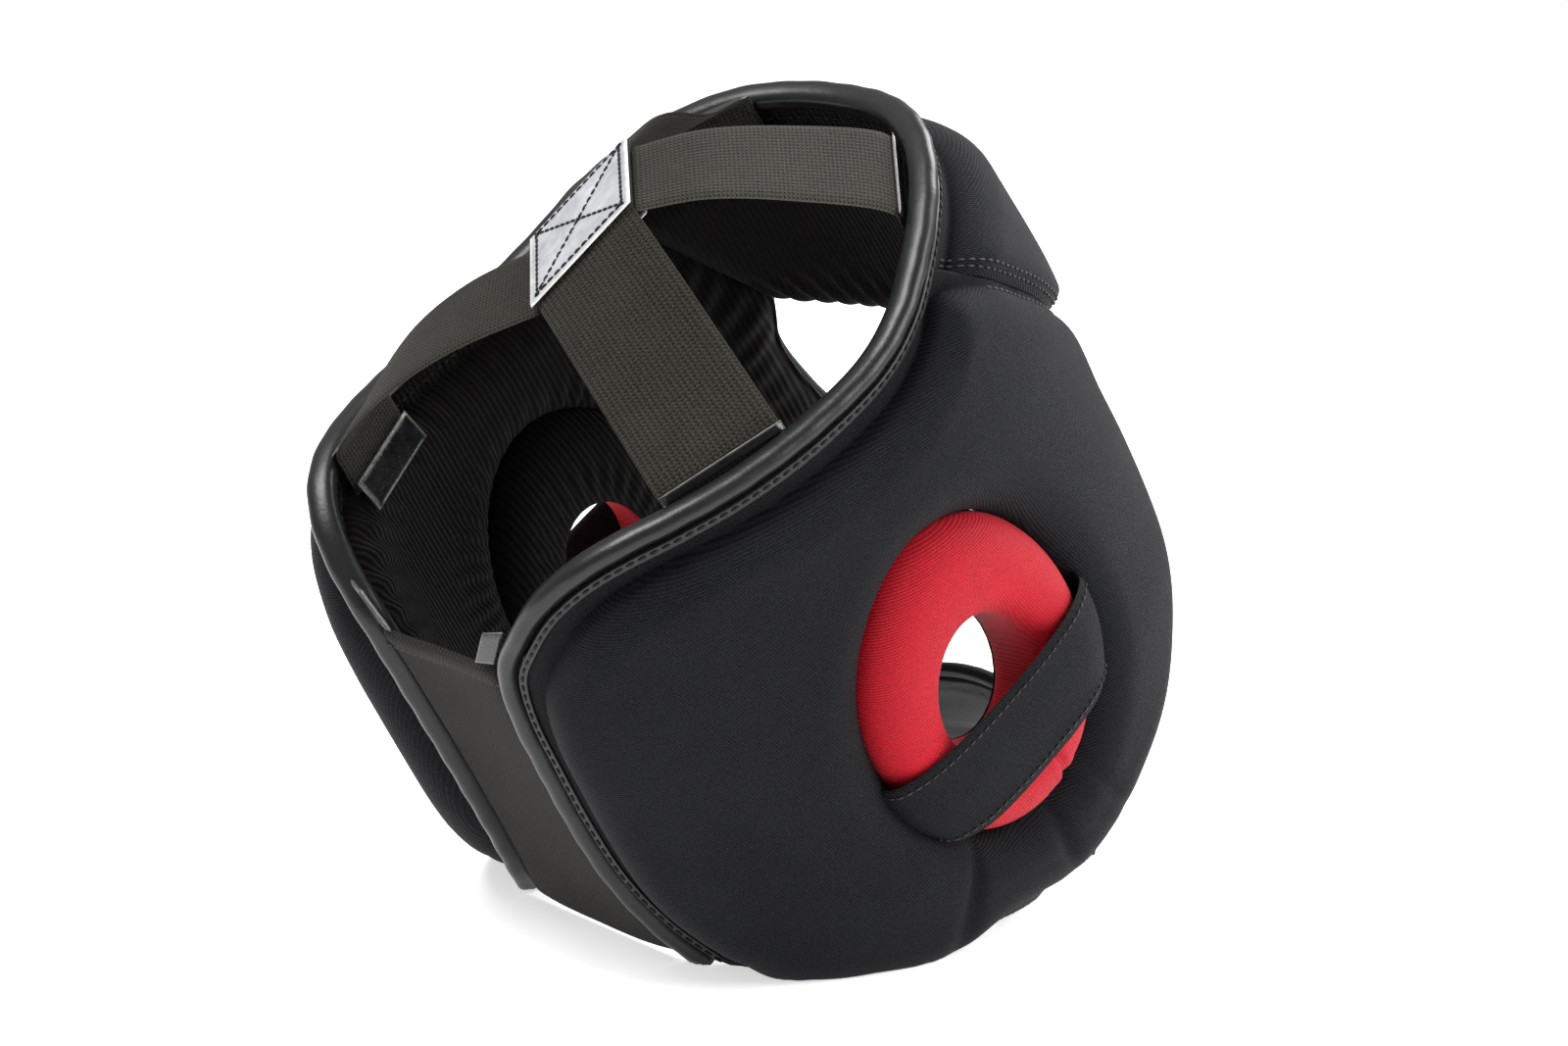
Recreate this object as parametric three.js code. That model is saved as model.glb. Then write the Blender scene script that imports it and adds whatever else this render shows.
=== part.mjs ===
import * as THREE from "three";

// A padded head guard with ear rings, lying back on its lower edges.
// Lengths are millimetres. The guard is shaped in the frame of its wearer: +X to the wearer's
// left, +Y to the back, +Z up, with the origin midway between the two ears.

// The shell is an oval tube, and every padded piece follows it.
const HALF_WIDTH = 88;
const FRONT_REACH = 109;
const BACK_REACH = 108;
const OVAL_CENTRE_Y = -17;
const FRONT_POWER = 2.1;
const BACK_POWER = 2.45;
const CROWN_HEIGHT = 98;
const JAW_DROP = 101;

// How the guard lies: how far it leans back, and how high its ears are over the surface.
const LEAN_DEGREES = 34;
const EAR_HEIGHT = 89;

// Padding outside and inside the middle of the shell.
const PAD_RISE = 14;
const FLANGE_WIDTH = 8;
const SHOULDER_WIDTH = 14;
const EAR_ROLL_WIDTH = 16;
const LINING_RISE = 9.5;
const SEWN_GAP = 0.3;
const SEAM_GAP = 0.8;

// Rolled binding along the back edges and the rim.
const PIPING_WIDTH = 6.5;
const PIPING_THICKNESS = 9;
const PIPING_GAP = 0.45;
const PIPING_SIDES = 8;

// Ear rings, one round each ear hole.
const EAR_FORWARD = 9;
const EAR_LOW = 8;
const EAR_RING_HEIGHT = 104;
const EAR_RING_LENGTH = 82;
const EAR_HOLE_HEIGHT = 46;
const EAR_HOLE_LENGTH = 37;
const EAR_HOLE_DROP = 4;
const EAR_RING_RISE = 13.5;
const EAR_RING_DEPTH = 12;
const EAR_RING_CLEARANCE = 0.9;
const EAR_RING_STEPS = 24;

// Strap over the lower half of each ear ring.
const EAR_STRAP_WIDTH = 31;
const EAR_STRAP_THICKNESS = 2;
const EAR_STRAP_DROP = 18;
const EAR_STRAP_CLEARANCE = 0.7;

// Elastic webbing over the crown, and the leather pieces sewn on it.
const STRAP_WIDTH = 40;
const STRAP_THICKNESS = 1.6;
const STRAP_SEAT = 7;
const STRAP_SLACK = 0.5;
const RIM_CLEARANCE = 2;
const PATCH_SIZE = 40.5;
const PATCH_THICKNESS = 1.4;
const CROSSING_HEIGHT = 134;
const CROSSING_Y = -23.5;
const TAB_LENGTH = 11;
const TAB_DROP = 2.5;
const TAB_LEAN = 3;
const TAB_THICKNESS = 1.4;

// Fabric panel between the two back edges.
const BACK_PANEL_TOP = 72;
const BACK_PANEL_BOTTOM = -44;
const BACK_PANEL_THICKNESS = 1.8;
const BACK_PANEL_SAG = 3;
const BACK_TAB_WIDTH = 8;
const BACK_TAB_HEIGHT = 12;

const LABEL_WIDTH = 26;
const LABEL_HEIGHT = 24;
const LABEL_THICKNESS = 1;
const LABEL_GAP = 0.8;
const LABEL_LEAN = 4;

// Chin cup and the straps that carry it.
const CHIN_CUP_LENGTH = 86;
const CHIN_CUP_HEIGHT = 40;
const CHIN_CUP_THICKNESS = 11;
const CHIN_CUP_Y = -0.58 * FRONT_REACH;
const CHIN_CUP_Z = -118;
const CHIN_PIPING_WIDTH = 5;
const CHIN_PIPING_SEAT = 0.6;
const CHIN_STRAP_WIDTH = 24;
const CHIN_STRAP_THICKNESS = 2;
const CHIN_STRAP_ANGLE = 80;
const CHIN_STRAP_SEAT = 0.7;
const CHIN_STRAP_INSET = -1;
const CHIN_CUP_BOW = 16;

// The right chin strap's way between the jaw and the chin cup: angle round the oval, height as in
// SHELL_TABLE, and offset from the shell.
const CHIN_STRAP_TABLE = [
  { angle: 83.5, height: -1.06, offset: -8 },
  { angle: 100, height: -1.1, offset: -14 },
];

// The shell's plan at several heights. Height is a share of CROWN_HEIGHT above the ears and of
// JAW_DROP below them, width a share of HALF_WIDTH, front and back shares of the two reaches.
const SHELL_TABLE = [
  { height: -1.2, width: 0.88, front: 0.97, back: 1.03 },
  { height: -1, width: 0.92, front: 0.98, back: 1.03 },
  { height: -0.45, width: 1, front: 1, back: 1.05 },
  { height: 0, width: 1, front: 1, back: 1.03 },
  { height: 0.5, width: 0.99, front: 1, back: 1 },
  { height: 0.94, width: 0.95, front: 0.97, back: 0.97 },
  { height: 1.3, width: 0.91, front: 0.94, back: 0.94 },
];

// Outline of the right side pad, from the foot of its back edge up and round by the rim, the
// temple seam, the face opening and the jaw. Angle is in degrees round the oval from the nape,
// height as in SHELL_TABLE, flange a share of FLANGE_WIDTH and edge a share of PAD_RISE.
const SIDE_OUTLINE = [
  { angle: 26, height: -0.45, flange: 1, edge: 0.12, kind: "piped" },
  { angle: 20, height: -0.28, flange: 1, edge: 0.12, kind: "piped" },
  { angle: 16.5, height: -0.1, flange: 1, edge: 0.12, kind: "piped" },
  { angle: 15.5, height: 0.12, flange: 1, edge: 0.12, kind: "piped" },
  { angle: 16, height: 0.37, flange: 1, edge: 0.12, kind: "piped" },
  { angle: 17, height: 0.56, flange: 1, edge: 0.12, kind: "piped" },
  { angle: 20, height: 0.72, flange: 1, edge: 0.12, kind: "piped" },
  { angle: 25.5, height: 0.815, flange: 1, edge: 0.12, kind: "piped" },
  { angle: 33, height: 0.905, flange: 1, edge: 0.12, kind: "piped" },
  { angle: 42, height: 0.96, flange: 1, edge: 0.12, kind: "piped" },
  { angle: 51, height: 0.975, flange: 1, edge: 0.12, kind: "piped" },
  { angle: 61, height: 0.96, flange: 1, edge: 0.12, kind: "piped" },
  { angle: 74, height: 0.925, flange: 1, edge: 0.12, kind: "piped" },
  { angle: 87, height: 0.89, flange: 1, edge: 0.12, kind: "piped" },
  { angle: 99, height: 0.875, flange: 1, edge: 0.12, kind: "piped" },
  { angle: 109, height: 0.9, flange: 1, edge: 0.12, kind: "piped" },
  { angle: 117, height: 0.94, flange: 0.9, edge: 0.12, kind: "piped" },
  { angle: 123.5, height: 0.79, flange: 0.25, edge: 0.6, kind: "seam" },
  { angle: 131, height: 0.63, flange: 0.25, edge: 0.6, kind: "seam" },
  { angle: 138.5, height: 0.46, flange: 0.25, edge: 0.6, kind: "seam" },
  { angle: 146, height: 0.3, flange: 0.2, edge: 0.35, kind: "seam" },
  { angle: 145, height: 0.1, flange: 0.2, edge: 0.3, kind: "turned" },
  { angle: 145, height: -0.12, flange: 0.2, edge: 0.3, kind: "turned" },
  { angle: 143, height: -0.3, flange: 0.2, edge: 0.3, kind: "turned" },
  { angle: 139, height: -0.46, flange: 0.2, edge: 0.3, kind: "turned" },
  { angle: 133, height: -0.59, flange: 0.2, edge: 0.3, kind: "turned" },
  { angle: 125, height: -0.7, flange: 0.2, edge: 0.3, kind: "turned" },
  { angle: 115, height: -0.81, flange: 0.2, edge: 0.3, kind: "turned" },
  { angle: 105, height: -0.88, flange: 0.2, edge: 0.3, kind: "turned" },
  { angle: 95, height: -0.93, flange: 0.2, edge: 0.3, kind: "turned" },
  { angle: 87, height: -0.94, flange: 0.2, edge: 0.3, kind: "turned" },
  { angle: 80, height: -0.88, flange: 0.2, edge: 0.25, kind: "turned" },
  { angle: 73, height: -0.83, flange: 0.2, edge: 0.3, kind: "turned" },
  { angle: 65, height: -0.81, flange: 0.2, edge: 0.3, kind: "turned" },
  { angle: 57, height: -0.76, flange: 0.2, edge: 0.3, kind: "turned" },
  { angle: 49, height: -0.68, flange: 0.2, edge: 0.3, kind: "turned" },
  { angle: 41, height: -0.6, flange: 0.2, edge: 0.3, kind: "turned" },
  { angle: 33, height: -0.52, flange: 0.4, edge: 0.25, kind: "turned" },
];

// Stations of the brow from the temple seam (at 0) to the middle of the forehead (at 1).
// Top and bottom are angles round the oval, high and low are heights, full the share of padding.
const BROW_TABLE = [
  { top: 117, high: 0.94, bottom: 146, low: 0.3, full: 0.62 },
  { top: 121, high: 0.955, bottom: 149, low: 0.285, full: 0.93 },
  { top: 130, high: 0.985, bottom: 154, low: 0.25, full: 1 },
  { top: 141, high: 1.005, bottom: 160, low: 0.21, full: 1 },
  { top: 154, high: 1.01, bottom: 167, low: 0.175, full: 1.02 },
  { top: 167, high: 0.995, bottom: 173.5, low: 0.15, full: 1.04 },
  { top: 180, high: 0.985, bottom: 180, low: 0.14, full: 1.05 },
];

// How padding rises from an edge over the flange (1) and the shoulder (2), and how it rolls down
// to the ear ring. Reach counts flanges and shoulders, rise is a share of the full rise.
const EDGE_PROFILE = [
  { flange: 0, shoulder: 0, rise: 0 },
  { flange: 1, shoulder: 0, rise: 0.03 },
  { flange: 1, shoulder: 0.25, rise: 0.58 },
  { flange: 1, shoulder: 0.6, rise: 0.9 },
  { flange: 1, shoulder: 1, rise: 1 },
];
const EAR_PROFILE = [
  { reach: 1, rise: 1 },
  { reach: 0.5, rise: 0.86 },
  { reach: 0.18, rise: 0.54 },
  { reach: 0, rise: 0.2 },
];
const LOWER_EDGE_PROFILE = [
  { reach: 1, rise: 1 },
  { reach: 0.45, rise: 0.88 },
  { reach: 0.14, rise: 0.58 },
  { reach: 0, rise: 0.25 },
];

// Section of an ear ring: across runs from the hole (0) to the outside (1), and out is a share of
// EAR_RING_RISE, or of EAR_RING_DEPTH where it is negative.
const RING_SECTION = [
  { across: 0, out: -1 },
  { across: 0, out: 0.35 },
  { across: 0.07, out: 0.7 },
  { across: 0.22, out: 0.92 },
  { across: 0.45, out: 1 },
  { across: 0.68, out: 0.93 },
  { across: 0.87, out: 0.68 },
  { across: 0.98, out: 0.32 },
  { across: 1, out: 0.012 },
  { across: 0.12, out: 0.012 },
  { across: 0.1, out: -1 },
];
const RING_LINING_SECTION = [
  { across: 1, out: -0.013 },
  { across: 0.97, out: -0.35 },
  { across: 0.85, out: -0.7 },
  { across: 0.62, out: -0.93 },
  { across: 0.4, out: -1 },
  { across: 0.22, out: -0.95 },
  { across: 0.14, out: -0.72 },
  { across: 0.14, out: -0.013 },
];

// The ear strap along the ring: along is a share of the ring's half length there, past is how far
// beyond it, and out is the inner face's share of EAR_RING_RISE.
const EAR_STRAP_TABLE = [
  { along: -1, past: 1.6, out: 0.44 },
  { along: -1, past: 0.8, out: 0.62 },
  { along: -0.93, past: 0, out: 0.86 },
  { along: -0.75, past: 0, out: 1 },
  { along: -0.4, past: 0, out: 1.05 },
  { along: 0, past: 0, out: 1.05 },
  { along: 0.4, past: 0, out: 1.05 },
  { along: 0.75, past: 0, out: 1 },
  { along: 0.93, past: 0, out: 0.86 },
  { along: 1, past: 0.8, out: 0.62 },
  { along: 1, past: 1.6, out: 0.44 },
];

// Where each arm of the webbing is sewn to the rim: the middle of its end as an angle round the
// oval, how much wider it meets the rim than it is, and how far its middle lifts and shifts back.
const ARM_TABLE = {
  frontRight: { angle: 138, flare: 1.04, lift: 9, back: 4 },
  backRight: { angle: 74, flare: 1.16, lift: 4, back: 0 },
  backLeft: { angle: 301, flare: 1, lift: 9, back: 6 },
  frontLeft: { angle: 214, flare: 1.02, lift: 3, back: 0 },
};
// Directions of the two webbings where they cross, in the wearer's frame.
const FIRST_DIRECTION = new THREE.Vector3(-0.75, 0.66, 0.08).normalize();
const SECOND_DIRECTION = new THREE.Vector3(0.5, 0.79, -0.35).normalize();
const ARM_STEPS = 11;

const COLOURS = {
  neoprene: { color: 0x17181b, roughness: 0.85, metalness: 0 },
  lining: { color: 0x15110e, roughness: 0.9, metalness: 0 },
  binding: { color: 0x1b1c1e, roughness: 0.42, metalness: 0 },
  red: { color: 0xc8102a, roughness: 0.75, metalness: 0 },
  webbing: { color: 0x2b2923, roughness: 0.9, metalness: 0 },
  leather: { color: 0x2a2b2d, roughness: 0.4, metalness: 0 },
  loop: { color: 0x2e2d29, roughness: 0.95, metalness: 0 },
  label: { color: 0xe9e9e6, roughness: 0.8, metalness: 0 },
};

const radians = THREE.MathUtils.degToRad;
const lerp = THREE.MathUtils.lerp;

function heightOf(share) {
  return share * (share > 0 ? CROWN_HEIGHT : JAW_DROP);
}

// The plan of the shell at a height, from SHELL_TABLE.
function planAt(z) {
  const share = z / (z > 0 ? CROWN_HEIGHT : JAW_DROP);
  const last = SHELL_TABLE.length - 1;
  let row = SHELL_TABLE.findIndex((entry) => entry.height >= share);
  row = row < 0 ? last : Math.max(row, 1);
  const low = SHELL_TABLE[row - 1];
  const high = SHELL_TABLE[row];
  const t = THREE.MathUtils.clamp((share - low.height) / (high.height - low.height), 0, 1);
  const mix = (name) => lerp(low[name], high[name], t);
  return { width: mix("width"), front: mix("front"), back: mix("back") };
}

function ovalPoint(angle, z) {
  const plan = planAt(z);
  const power = Math.cos(angle) > 0 ? BACK_POWER : FRONT_POWER;
  const curve = (value) => Math.sign(value) * Math.abs(value) ** (2 / power);
  const across = curve(Math.sin(angle));
  const along = curve(Math.cos(angle));
  const reach = along > 0 ? BACK_REACH * plan.back : FRONT_REACH * plan.front;
  return new THREE.Vector3(-HALF_WIDTH * plan.width * across, OVAL_CENTRE_Y + reach * along, z);
}

// Lengths round the oval at ear height, so that sizes along the shell are real lengths.
const ARC_STEPS = 1440;
const arcLengths = [0];
for (let i = 1; i <= ARC_STEPS; i++) {
  const step = (2 * Math.PI) / ARC_STEPS;
  const from = ovalPoint((i - 1) * step, 0);
  arcLengths.push(arcLengths[i - 1] + from.distanceTo(ovalPoint(i * step, 0)));
}
const FULL_ARC = arcLengths[ARC_STEPS];

function arcOf(degrees) {
  const place = (degrees / 360) * ARC_STEPS;
  const i = Math.min(Math.floor(place), ARC_STEPS - 1);
  return lerp(arcLengths[i], arcLengths[i + 1], place - i);
}

function angleOfArc(arc) {
  const turned = THREE.MathUtils.euclideanModulo(arc, FULL_ARC);
  let low = 0;
  let high = ARC_STEPS;
  while (high - low > 1) {
    const middle = (low + high) >> 1;
    if (arcLengths[middle] <= turned) low = middle;
    else high = middle;
  }
  const part = (turned - arcLengths[low]) / (arcLengths[high] - arcLengths[low]);
  return ((low + part) / ARC_STEPS) * 2 * Math.PI;
}

// A point of the shell: arc is the length round it from the nape, offset is outwards.
function shell(arc, z, offset = 0) {
  const probe = 1.5;
  const at = (a, h) => ovalPoint(angleOfArc(a), h);
  const round = at(arc + probe, z).sub(at(arc - probe, z));
  const upward = at(arc, z + probe).sub(at(arc, z - probe));
  const normal = round.cross(upward).normalize();
  return at(arc, z).addScaledVector(normal, offset);
}

const EAR_ARC = (() => {
  let angle = 90;
  while (ovalPoint(radians(angle), 0).y < -EAR_FORWARD) angle -= 0.05;
  return arcOf(angle);
})();

// Builds one closed body through loops that all have the same number of points.
// A closed body joins its last loop to its first. An open one is capped at both ends, where
// the first half of a loop faces the second half in reverse.
function loft(loops, closed = false) {
  const count = loops[0].length;
  const faces = [];
  const quad = (a, b, c, d) => faces.push(a, b, c, a, c, d);
  const spans = closed ? loops.length : loops.length - 1;
  for (let i = 0; i < spans; i++) {
    const next = (i + 1) % loops.length;
    for (let j = 0; j < count; j++) {
      const k = (j + 1) % count;
      quad(i * count + j, i * count + k, next * count + k, next * count + j);
    }
  }
  if (!closed) {
    const end = (loops.length - 1) * count;
    for (let j = 0; j < count / 2 - 1; j++) {
      const far = count - 1 - j;
      quad(j, far, far - 1, j + 1);
      quad(end + j, end + j + 1, end + far - 1, end + far);
    }
  }
  const points = loops.flat();
  let volume = 0;
  for (let i = 0; i < faces.length; i += 3) {
    const [a, b, c] = [points[faces[i]], points[faces[i + 1]], points[faces[i + 2]]];
    volume += a.dot(b.clone().cross(c));
  }
  if (volume < 0) faces.reverse();
  const geometry = new THREE.BufferGeometry();
  geometry.setFromPoints(points);
  geometry.setIndex(faces);
  return geometry;
}

// The wearer's left copy of a right-hand piece.
function mirrored(geometry) {
  const copy = geometry.clone();
  const position = copy.getAttribute("position");
  for (let i = 0; i < position.count; i++) position.setX(i, -position.getX(i));
  copy.setIndex([...copy.getIndex().array].reverse());
  return copy;
}

// Soft edges squash flat where they rest on the surface.
function rested(geometry) {
  const lean = radians(LEAN_DEGREES);
  const floorNormal = new THREE.Vector3(0, -Math.sin(lean), Math.cos(lean));
  const position = geometry.getAttribute("position");
  const point = new THREE.Vector3();
  for (let i = 0; i < position.count; i++) {
    point.fromBufferAttribute(position, i);
    const sunk = -EAR_HEIGHT - point.dot(floorNormal);
    if (sunk > 0) point.addScaledVector(floorNormal, sunk);
    position.setXYZ(i, point.x, point.y, point.z);
  }
  return geometry;
}

// The temple seam runs straight over the shell between the brow's first top and bottom.
function seamArc(z) {
  const { top, high, bottom, low } = BROW_TABLE[0];
  const share = (heightOf(high) - z) / (heightOf(high) - heightOf(low));
  return lerp(arcOf(top), arcOf(bottom), share);
}

// The side outline with rows far apart divided once more.
const OUTLINE_STEP = 21;
const sideOutline = (() => {
  const rows = SIDE_OUTLINE.map((row) => {
    const z = heightOf(row.height);
    return { ...row, arc: row.kind === "seam" ? seamArc(z) : arcOf(row.angle), z };
  });
  const smooth = new THREE.CatmullRomCurve3(
    rows.map((row) => new THREE.Vector3(row.arc, row.z, 0)),
    true,
    "centripetal",
  );
  const samples = [];
  rows.forEach((row, i) => {
    const next = rows[(i + 1) % rows.length];
    samples.push(row);
    const span = Math.hypot(next.arc - row.arc, next.z - row.z);
    if (span < OUTLINE_STEP || next.kind === "seam") return;
    const middle = smooth.getPoint((i + 0.5) / rows.length);
    samples.push({
      arc: middle.x,
      z: middle.y,
      flange: (row.flange + next.flange) / 2,
      edge: (row.edge + next.edge) / 2,
      kind: row.kind,
    });
  });
  return samples;
})();

// Places along the line from an outline sample in to the ear ring's edge.
function earRay(sample) {
  const halfLength = EAR_RING_LENGTH / 2 + EAR_RING_CLEARANCE;
  const halfHeight = EAR_RING_HEIGHT / 2 + EAR_RING_CLEARANCE;
  const turn = Math.atan2((sample.z + EAR_LOW) / halfHeight, (sample.arc - EAR_ARC) / halfLength);
  const arc = EAR_ARC + halfLength * Math.cos(turn);
  const z = halfHeight * Math.sin(turn) - EAR_LOW;
  const length = Math.hypot(sample.arc - arc, sample.z - z);
  const flange = FLANGE_WIDTH * sample.flange;
  const shoulder = Math.min(SHOULDER_WIDTH, 0.55 * length - flange);
  const roll = Math.min(EAR_ROLL_WIDTH, 0.42 * length);
  const at = (distance, offset) => {
    const t = distance / length;
    return shell(lerp(sample.arc, arc, t), lerp(sample.z, z, t), offset);
  };
  return { length, flange, shoulder, roll, at };
}

// Distances from the edge where the outer pad and the lining meet.
function meetingPlaces(ray) {
  const inner = ray.flange + 0.6 * ray.shoulder;
  return [0, inner, lerp(inner, ray.length - ray.roll, 0.5), ray.length - ray.roll, ray.length];
}

function paddedSide(meetingOffset, edgeOffset, rise) {
  const loops = sideOutline.map((sample) => {
    const ray = earRay(sample);
    const low = edgeOffset(sample);
    const outer = EDGE_PROFILE.map((row) =>
      ray.at(row.flange * ray.flange + row.shoulder * ray.shoulder, lerp(low, rise, row.rise)),
    );
    const rolled = EAR_PROFILE.map((row) =>
      ray.at(ray.length - row.reach * ray.roll, rise * row.rise),
    );
    const meeting = meetingPlaces(ray).map((distance) => ray.at(distance, meetingOffset));
    return [...outer, ...rolled, ...meeting.reverse()];
  });
  return rested(loft(loops, true));
}

function sidePad() {
  return paddedSide(0, (sample) => sample.edge * PAD_RISE, PAD_RISE);
}

function sideLining() {
  const thinEdge = (sample) => -0.16 * LINING_RISE * (sample.kind === "piped" ? 1 : 1.6);
  return paddedSide(-SEWN_GAP, thinEdge, -LINING_RISE);
}

// The brow runs from one temple seam to the other.
function paddedBrow(meetingOffset, edge, rise) {
  const half = BROW_TABLE.map((row) => ({
    top: arcOf(row.top),
    bottom: arcOf(row.bottom),
    high: heightOf(row.high),
    low: heightOf(row.low),
    full: row.full,
  }));
  half[0].top += SEAM_GAP;
  half[0].bottom += SEAM_GAP;
  const other = half
    .slice(0, -1)
    .reverse()
    .map((row) => ({ ...row, top: FULL_ARC - row.top, bottom: FULL_ARC - row.bottom }));
  const loops = [...half, ...other].map((row) => {
    const length = Math.hypot(row.bottom - row.top, row.high - row.low);
    const at = (distance, offset) => {
      const t = distance / length;
      return shell(lerp(row.top, row.bottom, t), lerp(row.high, row.low, t), offset);
    };
    const shoulder = Math.min(SHOULDER_WIDTH, 0.45 * length - FLANGE_WIDTH);
    const outer = EDGE_PROFILE.map((step) =>
      at(
        step.flange * FLANGE_WIDTH + step.shoulder * shoulder,
        lerp(edge, rise, step.rise) * (step.rise > 0.5 ? row.full : 1),
      ),
    );
    const lower = LOWER_EDGE_PROFILE.map((step) =>
      at(length - step.reach * shoulder, rise * step.rise * row.full),
    );
    const count = outer.length + lower.length;
    const meeting = Array.from({ length: count }, (_, i) =>
      at((length * i) / (count - 1), meetingOffset),
    );
    return [...outer, ...lower, ...meeting.reverse()];
  });
  return loft(loops);
}

// The rim's line on the right, from the foot of the back edge to the middle of the brow.
function rimLine() {
  const side = sideOutline.filter((sample) => sample.kind === "piped");
  const brow = BROW_TABLE.slice(1).map((row) => ({ arc: arcOf(row.top), z: heightOf(row.high) }));
  return [...side, ...brow].map(({ arc, z }) => ({ arc, z }));
}

function edgePiping() {
  const right = rimLine();
  const left = right
    .slice(0, -1)
    .reverse()
    .map(({ arc, z }) => ({ arc: FULL_ARC - arc, z }));
  const line = [...right, ...left];
  const loops = line.map(({ arc, z }, i) => {
    const before = line[Math.max(i - 1, 0)];
    const after = line[Math.min(i + 1, line.length - 1)];
    const run = Math.hypot(after.arc - before.arc, after.z - before.z);
    const outArc = -(after.z - before.z) / run;
    const outZ = (after.arc - before.arc) / run;
    return Array.from({ length: PIPING_SIDES }, (_, side) => {
      const turn = ((side + 0.5) / PIPING_SIDES) * 2 * Math.PI;
      const out = PIPING_GAP + (PIPING_WIDTH / 2) * (1 + Math.cos(turn) / Math.cos(Math.PI / 8));
      const offset = (PIPING_THICKNESS / 2) * Math.sin(turn);
      return shell(arc + outArc * out, z + outZ * out, offset);
    });
  });
  return rested(loft(loops));
}

function earRing(section) {
  const loops = Array.from({ length: EAR_RING_STEPS }, (_, i) => {
    const turn = (i / EAR_RING_STEPS) * 2 * Math.PI;
    return section.map(({ across, out }) => {
      const halfLength = lerp(EAR_HOLE_LENGTH, EAR_RING_LENGTH, across) / 2;
      const halfHeight = lerp(EAR_HOLE_HEIGHT, EAR_RING_HEIGHT, across) / 2;
      const offset = out * (out > 0 ? EAR_RING_RISE : EAR_RING_DEPTH);
      const arc = EAR_ARC + halfLength * Math.cos(turn);
      const centre = EAR_LOW + EAR_HOLE_DROP * (1 - across);
      return shell(arc, halfHeight * Math.sin(turn) - centre, offset);
    });
  });
  return loft(loops, true);
}

function earStrap() {
  const rows = 5;
  const loops = EAR_STRAP_TABLE.map((row, i) => {
    const before = EAR_STRAP_TABLE[Math.max(i - 1, 0)];
    const after = EAR_STRAP_TABLE[Math.min(i + 1, EAR_STRAP_TABLE.length - 1)];
    const place = (entry, halfLength) => ({
      arc: entry.along * halfLength + Math.sign(entry.along) * entry.past,
      out: entry.out * EAR_RING_RISE + EAR_STRAP_CLEARANCE,
    });
    const face = (thickness) =>
      Array.from({ length: rows }, (_, k) => {
        const up = EAR_STRAP_WIDTH * (0.5 - k / (rows - 1)) - EAR_STRAP_DROP;
        const share = up / (EAR_RING_HEIGHT / 2);
        const halfLength = (EAR_RING_LENGTH / 2) * Math.sqrt(1 - share * share);
        const here = place(row, halfLength);
        const from = place(before, halfLength);
        const to = place(after, halfLength);
        const run = Math.hypot(to.arc - from.arc, to.out - from.out);
        const arc = here.arc - (thickness * (to.out - from.out)) / run;
        const out = here.out + (thickness * (to.arc - from.arc)) / run;
        return shell(EAR_ARC + arc, up - EAR_LOW, out);
      });
    return [...face(EAR_STRAP_THICKNESS), ...face(0).reverse()];
  });
  return loft(loops);
}

// The rim's height at a length round the shell, either side.
function rimHeight(arc) {
  const folded = arc > FULL_ARC / 2 ? FULL_ARC - arc : arc;
  const line = rimLine().filter((point) => point.z > 0);
  const i = Math.max(1, line.findIndex((point) => point.arc >= folded));
  const t = (folded - line[i - 1].arc) / (line[i].arc - line[i - 1].arc);
  return lerp(line[i - 1].z, line[i].z, THREE.MathUtils.clamp(t, 0, 1));
}

const strapSeatOffset = -(PIPING_THICKNESS / 2 + SEWN_GAP + STRAP_SLACK + STRAP_THICKNESS / 2);

// One edge point of an arm's sewn end: side is -1 or +1 across the webbing.
function armEnd(arm, side, down = STRAP_SEAT) {
  const arc = arcOf(arm.angle) + (side * arm.flare * STRAP_WIDTH) / 2;
  return shell(arc, rimHeight(arc) - down, strapSeatOffset);
}

const crossing = new THREE.Vector3(0, CROSSING_Y, CROSSING_HEIGHT);
const crossingNormal = SECOND_DIRECTION.clone().cross(FIRST_DIRECTION).normalize();
if (crossingNormal.z < 0) crossingNormal.negate();

// Corner of the square where the webbings cross, on the middle layer of one of them.
function corner(first, second, layer) {
  return crossing
    .clone()
    .addScaledVector(FIRST_DIRECTION, (first * STRAP_WIDTH) / 2)
    .addScaledVector(SECOND_DIRECTION, (second * STRAP_WIDTH) / 2)
    .addScaledVector(crossingNormal, layer);
}

// Points up one arm's edge, from its sewn end over the rim to a corner of the crossing.
function armEdge(arm, side, cornerPoint) {
  const rim = armEnd(arm, side, -PIPING_WIDTH - RIM_CLEARANCE);
  const arch = (share) => {
    const bulge = Math.sin(share * Math.PI);
    const shift = new THREE.Vector3(0, arm.back * bulge, arm.lift * bulge);
    return rim.clone().lerp(cornerPoint, share).add(shift);
  };
  const points = [
    armEnd(arm, side),
    armEnd(arm, side, -PIPING_WIDTH / 2),
    rim,
    arch(1 / 3),
    arch(2 / 3),
    cornerPoint,
  ];
  return new THREE.CatmullRomCurve3(points, false, "centripetal").getPoints(ARM_STEPS);
}

// A band between two edges given as rows of points, with its given thickness.
function band(edgeA, edgeB, thickness) {
  const loops = edgeA.map((a, i) => {
    const b = edgeB[i];
    const before = Math.max(i - 1, 0);
    const after = Math.min(i + 1, edgeA.length - 1);
    const along = edgeA[after].clone().sub(edgeA[before]);
    along.add(edgeB[after]).sub(edgeB[before]);
    const normal = along.cross(b.clone().sub(a)).normalize();
    const row = (side) =>
      [0, 0.5, 1].map((t) => a.clone().lerp(b, t).addScaledVector(normal, (side * thickness) / 2));
    return [...row(1), ...row(-1).reverse()];
  });
  return loft(loops);
}

const layerOffset = STRAP_THICKNESS / 2 + SEWN_GAP;

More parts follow.
